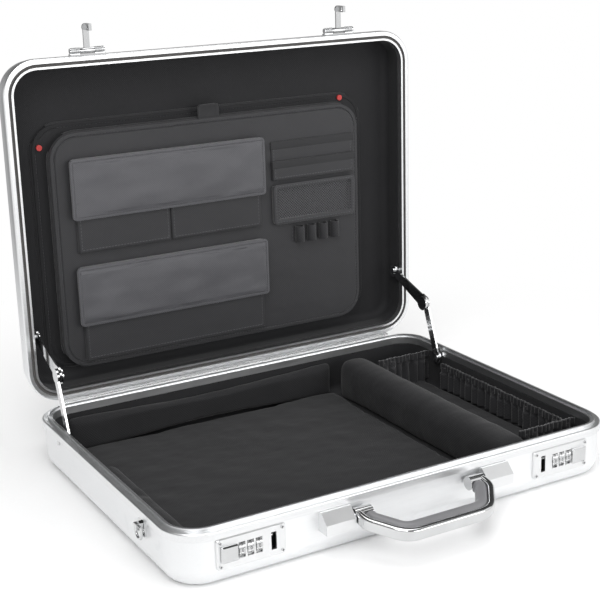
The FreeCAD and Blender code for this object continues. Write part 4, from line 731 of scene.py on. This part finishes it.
def organiser_board(name, node, material, crown):
    """A board in cloth with round corners, a soft crown and a sewn channel near its edge."""
    low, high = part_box(node)
    corner, rim, rim_round, welt_radius = 28 * MM, 3 * MM, 1.2 * MM, 1.6 * MM
    border, groove_wide, groove_deep = 3.5 * MM, 0.8 * MM, 0.7 * MM
    shoulder, slope = 1.2 * MM, 18 * MM
    seam_y, seam_inset, seam_corner = low.y + 0.5 * MM, 3.9 * MM, 24 * MM

    def on_rim(middle, along):
        return abs(along.y) < TURNED and not well_inside(middle, low, high, rim, rim)

    board = round_corners(block(name, low, high), ACROSS, corner, segments=8)
    with chosen(board, "FACE", to_mouth):
        bpy.ops.mesh.inset(thickness=border, depth=0)
        bpy.ops.mesh.inset(thickness=groove_wide, depth=-groove_deep)
        bpy.ops.mesh.inset(thickness=shoulder, depth=groove_deep + crown / 2)
        bpy.ops.mesh.inset(thickness=slope, depth=crown / 2)
    with chosen(board, "EDGE", lambda middle, along: middle.y < low.y + HAIR and on_rim(middle, along)):
        rounded(rim_round, segments=3)
    dressed(eased(board), material, "lid", [node])

    def on_back(middle, along):
        return abs(middle.y - high.y) < HAIR and on_rim(middle, along)

    welt = piping(name + "_piping", board, on_back, welt_radius)
    dressed(welt, BINDING, "lid")
    sewn_border(name + "_stitching", low, high, seam_y, seam_inset, "lid", corner=seam_corner)


def flap(name, node):
    """A flap with round corners, a sewn border, a soft crown and a return at its fold."""
    low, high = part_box(node)
    wide, tall = high.x - low.x, high.z - low.z
    thick, corner, edge, crease = 3 * MM, 4 * MM, 0.6 * MM, 4.8 * MM
    border, groove_wide, groove_deep, ridge = 2.2 * MM, 0.6 * MM, 0.5 * MM, 0.6 * MM
    skin, field, soft_field, fold_tall = 0.9 * MM, 4 * MM, 6 * MM, 3 * MM
    seam_y, seam_inset = low.y + 0.2 * MM, 2.7 * MM
    slices, drawn_in = (0.12, 0.3, 0.5, 0.7, 0.88), (0.97, 1, 0.7)
    inner = 0.1 * wide
    lifts = ((0.7 * MM, inner, 6 * MM), (0.6 * MM, 2 * inner, 15 * MM))

    def on_front(place, x_margin, z_margin):
        return place.y < low.y + skin and well_inside(place, low, high, x_margin, z_margin)

    def on_field(middle, way):
        return to_mouth(middle, way) and well_inside(middle, low, high, field, field)

    face_high = Vector((high.x, low.y + thick, high.z))
    piece = round_corners(block(name, low, face_high), ACROSS, corner, segments=4)
    with chosen(piece, "FACE", to_mouth):
        bpy.ops.mesh.inset(thickness=border, depth=0)
        bpy.ops.mesh.inset(thickness=groove_wide, depth=-groove_deep)
        bpy.ops.mesh.inset(thickness=groove_wide, depth=ridge)
    for share in slices:
        sliced(piece, 0, low.x + share * wide)
        sliced(piece, 2, low.z + share * tall)
    for lift, x_margin, z_margin in lifts:
        with chosen(piece, "VERT", lambda place, way: on_front(place, x_margin, z_margin)):
            bpy.ops.transform.translate(value=(0, -lift, 0))
    with chosen(piece, "FACE", on_field):
        bpy.ops.mesh.subdivide(number_cuts=3)
    with chosen(piece, "VERT", lambda place, way: on_front(place, soft_field, soft_field)):
        bpy.ops.object.vertex_group_assign_new()
    rumpled(piece, crease, level=0.42, group=piece.vertex_groups[0].name)
    piece.vertex_groups.clear()

    fold = high.z - fold_tall
    sliced(piece, 2, fold)
    with chosen(piece, "FACE", lambda middle, way: way.y > FACING and middle.z > fold):
        pushed((0, high.y - face_high.y, 0))
        bpy.ops.transform.resize(value=drawn_in)
    softened(piece, edge, degrees=50)
    dressed(eased(piece, degrees=35), FLAP_NYLON_WITH_PAINTED_LIGHT, node, [node])
    sewn_border(name + "_stitching", low, high, seam_y, seam_inset, node)


def cloth_pocket(name, low, high, wall, bulge, nodes=()):
    """A patch pocket, open at its top and sewn down round the other sides, with a bound mouth."""
    low, high = Vector(low), Vector(high)
    hem, slope = 3 * MM, 0.22 * (high.z - low.z)
    edge, edge_round, below_top = 1 * MM, 1.6 * MM, 0.5 * MM
    tape_tall, tape_front, tape_lip, tape_round = 8 * MM, 0.5 * MM, 0.4 * MM, 0.7 * MM
    seam_inset = 3.2 * MM

    def on_sewn_edge(middle, along):
        inside = low.x + edge < middle.x < high.x - edge and low.z + edge < middle.z
        return abs(middle.y - low.y) < HAIR and abs(middle.z - high.z) > below_top and not inside

    piece = block(name, low, high)
    with chosen(piece, "FACE", lambda middle, way: way.y > FACING or way.z > FACING):
        bpy.ops.mesh.delete(type="FACE")
    with chosen(piece, "FACE", to_mouth):
        bpy.ops.mesh.inset(thickness=hem, depth=0)
        bpy.ops.mesh.inset(thickness=slope, depth=bulge)
    with chosen(piece, "EDGE", on_sewn_edge):
        rounded(edge_round, segments=3)
    finish_with(piece, "SOLIDIFY", thickness=wall, offset=-1)
    dressed(eased(piece), FINISHES["nylon"], "lid", nodes)

    tape_low = (low.x, low.y - tape_front, high.z - tape_tall)
    tape = block(name + "_binding", tape_low, (high.x, low.y + wall + tape_lip, high.z + tape_lip))
    round_corners(tape, ALONG, tape_round, segments=3)
    dressed(eased(tape), BINDING, "lid")
    sewn_border(name + "_stitching", low, high, low.y + HAIR, seam_inset, "lid", "LRB")


def pockets():
    """Two pockets under the upper flap, one under the lower flap, and two short ones beside them."""
    low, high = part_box("flap_pockets")
    split, half_seam = -63.1 * MM, 0.3 * MM
    upper_foot, lower_top = 204.4 * MM, 179.8 * MM
    wall, upper_bulge, lower_bulge = 1.2 * MM, 0.9 * MM, 1.2 * MM
    cloth_pocket("upper_pocket_left", (low.x, low.y, upper_foot), (split - half_seam, high.y, high.z),
                 wall, upper_bulge, ["flap_pockets"])
    cloth_pocket("upper_pocket_right", (split + half_seam, low.y, upper_foot), high, wall, upper_bulge)
    cloth_pocket("lower_pocket", low, (high.x, high.y, lower_top), wall, lower_bulge)

    low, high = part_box("card_pockets")
    back_deep, front_gap = 2.8 * MM, 2.9 * MM
    card_wall, card_bulge = 0.8 * MM, 0.4 * MM
    cloth_pocket("card_pocket_back", (low.x, high.y - back_deep, low.z), high, card_wall, card_bulge,
                 ["card_pockets"])
    cloth_pocket("card_pocket_front", low, (high.x, high.y - front_gap, (low.z + high.z) / 2),
                 card_wall, card_bulge)


def net_pocket():
    """A wide taped hem with round corners round an open net, deep at its sides and foot."""
    low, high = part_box("mesh_pocket")
    tape, hem_wide, open_top = 1.8 * MM, 5.5 * MM, 4 * MM
    corner, edge, edge_round = 4.5 * MM, 1 * MM, 0.6 * MM
    net_y, net_margin, thread = low.y + 1 * MM, 9 * MM, 0.6 * MM
    seam_inset = 2.8 * MM

    def on_corner(place, along):
        return (abs(along.y) > RUNNING
                and (place.x < low.x + edge or place.x > high.x - edge)
                and (place.z < low.z + edge or place.z > high.z - edge))

    hem = block("net_pocket_hem", low, (high.x, low.y + tape, high.z))
    with chosen(hem, "FACE", front_or_back):
        bpy.ops.mesh.inset(thickness=hem_wide, use_individual=True)
        bpy.ops.mesh.bridge_edge_loops()
    with chosen(hem, "FACE", lambda middle, way: way.y > FACING and middle.z < high.z - open_top):
        pushed((0, high.y - low.y - tape, 0))
    with chosen(hem, "EDGE", on_corner):
        rounded(corner, segments=5)
    softened(outward(hem), edge_round, degrees=40)
    dressed(eased(hem), NET_TAPE, "lid", ["mesh_pocket"])

    middle = (low + high) / 2
    across, tall = high.x - low.x - net_margin, high.z - low.z - net_margin
    fresh()
    bpy.ops.mesh.primitive_grid_add(x_subdivisions=30, y_subdivisions=12, size=1)
    net = bpy.context.object
    net.scale = (across, tall, 1)
    net.rotation_euler = (math.pi / 2, 0, 0)
    net.location = (middle.x, net_y, middle.z)
    started("net_pocket_net")
    with whole(net):
        bpy.ops.mesh.poke()
    with chosen(net, "EDGE", lambda place, along: abs(along.x) > RUNNING or abs(along.z) > RUNNING):
        bpy.ops.mesh.dissolve_edges(use_verts=False)
    finish_with(net, "WIREFRAME", thickness=thread, use_even_offset=False)
    dressed(net, NET, "lid")
    sewn_border("net_pocket_stitching", low, high, low.y - HAIR, seam_inset, "lid")


def pen_loops():
    """A row of elastic loops on a sewn strip."""
    low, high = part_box("pen_loops")
    middle = (low + high) / 2
    count, pitch, first_loop, first_seam = 4, 15 * MM, 92 * MM, 84.5 * MM
    radius, wall, edge = 5 * MM, 0.9 * MM, 0.3 * MM
    flat_deep, flat_y, flattened = 2.2 * MM, high.y - 0.6 * MM, (1.25, 0, 1)
    strip_front, strip_corner = high.y - 0.9 * MM, 1.5 * MM
    seam_y, seam_inset = high.y - 1.1 * MM, 1 * MM

    fresh()
    bpy.ops.mesh.primitive_cylinder_add(vertices=28, radius=radius, depth=high.z - low.z,
                                        end_fill_type="NOTHING", location=(first_loop, middle.y, middle.z))
    loop = started("pen_loop")
    with chosen(loop, "VERT", lambda place, way: place.y > high.y - flat_deep):
        bpy.ops.transform.resize(value=flattened, center_override=(first_loop, flat_y, 0))
    finish_with(loop, "SOLIDIFY", thickness=wall, offset=-1)
    softened(loop, edge, degrees=60)
    copies = [copied(loop, "pen_loop", (pitch * index, 0, 0)) for index in range(1, count)]
    strip = block("pen_strip", (low.x, strip_front, low.z), (high.x, high.y - HAIR, high.z))
    round_corners(strip, ACROSS, strip_corner, segments=3)
    row = eased(joined("pen_loop_row", [loop, *copies, strip]), degrees=35)
    dressed(row, FINISHES["elastic"], "lid", ["pen_loops"])

    seams = []
    for index in range(count + 1):
        x = first_seam + pitch * index
        seam_foot, seam_top = (x, seam_y, low.z + seam_inset), (x, seam_y, high.z - seam_inset)
        seams.append(stitches("pen_seam%d" % index, seam_foot, seam_top))
    dressed(eased(joined("pen_loop_stitching", seams)), THREAD, "lid")


def pull_tab():
    """A folded webbing tab at the organiser's top edge."""
    low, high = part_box("organiser_front_panel")
    tab_low = (-22 * MM, low.y + 2.2 * MM, high.z - 6 * MM)
    tab_high = (2 * MM, low.y + 4.2 * MM, high.z + 14 * MM)
    corner, border, groove_wide, groove_deep, edge = 3 * MM, 1.6 * MM, 0.5 * MM, 0.3 * MM, 0.4 * MM
    tab = round_corners(block("organiser_tab", tab_low, tab_high), ACROSS, corner, segments=4)
    with chosen(tab, "FACE", front_or_back):
        bpy.ops.mesh.inset(thickness=border, use_individual=True)
        bpy.ops.mesh.inset(thickness=groove_wide, depth=-groove_deep, use_individual=True)
    softened(tab, edge, degrees=50)
    dressed(eased(tab), BINDING, "lid")


# Lock and latch details

def wheel_numbers():
    """Small figures round each number wheel."""
    count, reach, figure_size, relief = 10, 7.9 * MM, 4.2 * MM, 0.12 * MM
    upright = Matrix.Rotation(math.radians(90), 4, "X")
    lift = Matrix.Translation((0, -reach, 0))
    figures = []
    for digit in range(count):
        fresh()
        bpy.ops.object.text_add()
        text = bpy.context.object.data
        text.body = str(digit)
        text.size = figure_size
        text.extrude = relief
        text.align_x = "CENTER"
        text.align_y = "CENTER"
        bpy.ops.object.convert(target="MESH")
        figure = bpy.context.object
        turn = Matrix.Rotation(math.radians(360 / count * digit), 4, "X")
        figure.data.transform(turn @ lift @ upright)
        figures.append(figure)
    ring = joined("number_ring", figures)
    for side in SIDES:
        for wheel in (1, 2, 3):
            low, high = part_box("lock_wheel_%s_%d" % (side, wheel))
            numbers = copied(ring, "wheel_numbers_%s_%d" % (side, wheel), (low + high) / 2)
            dressed(numbers, DARK_PRINT_AND_SLOT_SHADE, "wheel_%s_%d" % (side, wheel))
    bpy.data.objects.remove(ring)


def screw_slots():
    """A cross slot in each lock plate's screw heads, not cut: a thin dark cross on the head, painted shade
    for the slot.
    """
    half_long, half_deep, half_wide = 1.1 * MM, 0.1 * MM, 0.2 * MM
    inset = 3.4 * MM
    head_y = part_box("lock_screws")[0].y
    arm = block("slot", (-half_long, -half_deep, -half_wide), (half_long, half_deep, half_wide))
    post = block("slot_post", (-half_wide, -half_deep, -half_long), (half_wide, half_deep, half_long))
    cross = joined("cross_slot", [arm, post])
    crosses = []
    for side in SIDES:
        low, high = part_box("lock_plate_" + side)
        for x in (low.x + inset, high.x - inset):
            for z in (low.z + inset, high.z - inset):
                crosses.append(copied(cross, "cross", (x, head_y, z)))
    bpy.data.objects.remove(cross)
    # The crosses' dark colour is painted shade, standing for the shade inside the slots.
    dressed(joined("screw_slots", crosses), DARK_PRINT_AND_SLOT_SHADE, "base")


def hasp_springs():
    """A coiled spring on each side of a hasp's knuckle."""
    axis = Vector((0, 181.3 * MM, 408.0 * MM))
    wire, radius, pitch = 0.42 * MM, 2.7 * MM, 1.1 * MM
    ear, clear = 1.2 * MM, 0.4 * MM
    fewest_turns, turn_steps = 3, 16
    for side in SIDES:
        plate_low, plate_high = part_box("hasp_plate_" + side)
        hasp_low, hasp_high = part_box("hasp_" + side)
        for name, start, end in (("inner", plate_low.x + ear, hasp_low.x - clear),
                                 ("outer", hasp_high.x + clear, plate_high.x - ear)):
            turns = max(fewest_turns, int((end - start) / pitch))
            steps = turn_steps * turns
            fresh()
            bpy.ops.mesh.primitive_circle_add(vertices=8, radius=wire,
                                              location=(start, axis.y, axis.z + radius))
            coil = started("hasp_spring_%s_%s" % (side, name))
            coil.data.transform(Matrix.Translation(-axis))
            with whole(coil):
                bpy.ops.transform.rotate(value=math.pi / 2, orient_axis="X",
                                         center_override=(start, 0, radius))
            finish_with(coil, "SCREW", axis="X", angle=2 * math.pi * turns, screw_offset=end - start,
                        steps=steps, render_steps=steps, use_merge_vertices=True)
            coil.data.transform(Matrix.Translation(axis))
            outward(coil)
            dressed(eased(coil, degrees=60), FINISHES["steel"], "lid")


base_pads()
gathered_curtains()
organiser_board("organiser_back_board", "organiser_back_panel", FINISHES["lining"], crown=0.6 * MM)
organiser_board("organiser_front_board", "organiser_front_panel", FINISHES["nylon"], crown=1.4 * MM)
gusset()
pockets()
net_pocket()
pen_loops()
flap("upper_flap_cloth", "upper_flap")
flap("lower_flap_cloth", "lower_flap")
pull_tab()
wheel_numbers()
screw_slots()
hasp_springs()


# Floor, light and camera

def ray_kinds(nodes):
    """Whether a ray comes from the camera, or from polished metal."""
    path = nodes.add("ShaderNodeLightPath", out="Is Camera Ray")
    glossy, through = nodes.outputs(path, "Is Glossy Ray", "Is Transmission Ray")
    return path, glossy.larger(through)


def pale_floor():
    """A pale floor that keeps the shadow near the case and runs out into white."""
    floor = Finish("pale_floor")
    grain = floor.noise(scale=300, detail=2)
    pale = floor.between(grain, low=(0.93, 0.93, 0.93), high=(0.96, 0.96, 0.96))
    floor.set(base_color=pale, roughness=0.9)
    reach = floor.add("ShaderNodeVectorMath", {"operation": "LENGTH"}, {0: floor.place}, out="Value")
    far = floor.ease(reach, start=0.28, end=0.75)
    seen, polished = ray_kinds(floor)
    behind = floor.ease(floor.axes(floor.place)[1], start=0.4, end=1.3)
    white = floor.add("ShaderNodeEmission", sockets={"Strength": 1.0 - polished * behind * 0.65})
    body = Level(floor, floor.shader.outputs[0])
    mixed = floor.add("ShaderNodeMixShader", sockets={0: far * (seen + polished), 1: body, 2: white})
    floor.feed(floor.tree.nodes["Material Output"].inputs["Surface"], mixed)
    return floor.material


def white_room():
    """A white world; polished metal sees its ceiling and its far side darker."""
    world = bpy.data.worlds.new("white_room")
    bpy.context.scene.world = world
    world.use_nodes = True
    room = Nodes(world.node_tree)
    inward = room.add("ShaderNodeTexCoord", out="Normal")
    y, z = room.axes(inward)[1:]
    height = z * -1.0
    ceiling = 1.0 - room.ease(height, start=0.16, end=0.42) * 0.9
    ceiling = ceiling + room.ease(height, start=0.8, end=0.95) * 0.8
    behind = room.ease(y * -1.0, start=0.3, end=0.8)
    mirrored = ceiling * (1.0 - behind * 0.6)
    seen, polished = ray_kinds(room)
    shaded = 0.68 - room.ease(height, start=0.0, end=0.5) * 0.25
    strength = seen + polished * mirrored + (1.0 - seen - polished) * shaded
    sky = world.node_tree.nodes["Background"]
    sky.inputs["Color"].default_value = (1, 1, 1, 1)
    room.feed(sky.inputs["Strength"], strength)


# Each lamp's name, place in metres, width and height in metres, and power in watts
LAMPS = (
    ("key", (-1.2, -1.6, 2.2), (1.8, 1.8), 44),
    ("fill", (1.9, -1.2, 1.5), (1.6, 1.6), 8),
    ("front", (0.9, -2.4, 0.8), (1.8, 0.8), 20),
    ("top", (0.2, 0.3, 2.6), (2.0, 2.0), 22),
)
LIT_POINT = Vector((0, 0.05, 0.1))


def studio():
    """The floor, and soft lamps turned to the case."""
    floor_wide, floor_middle = 8, (0, 1.0, 0)
    fresh()
    bpy.ops.mesh.primitive_plane_add(size=floor_wide, location=floor_middle)
    floor = started("floor")
    floor.data.materials.append(pale_floor())
    for name, place, (wide, tall), power in LAMPS:
        light = bpy.data.lights.new(name, "AREA")
        light.shape = "RECTANGLE"
        light.size, light.size_y = wide, tall
        light.energy = power
        lamp = bpy.data.objects.new(name, light)
        lamp.location = place
        lamp.rotation_euler = (LIT_POINT - Vector(place)).to_track_quat("-Z", "Y").to_euler()
        bpy.context.collection.objects.link(lamp)


def camera():
    """The photograph's viewpoint in metres and degrees, from a fit to the case's rims."""
    place = Vector((-0.6133, -1.0637, 0.5365))
    tilt, lean, swing = 73.4912, 1.5529, -29.8256
    lens = bpy.data.cameras.new("viewpoint")
    lens.sensor_width = 36
    lens.lens = 79.553
    lens.clip_end = 50
    eye = bpy.data.objects.new("viewpoint", lens)
    turn = Euler([math.radians(angle) for angle in (tilt, lean, swing)])
    eye.matrix_world = Matrix.LocRotScale(place, turn, None)
    bpy.context.collection.objects.link(eye)
    bpy.context.scene.camera = eye


white_room()
studio()
camera()
bpy.context.scene.view_settings.view_transform = "Standard"
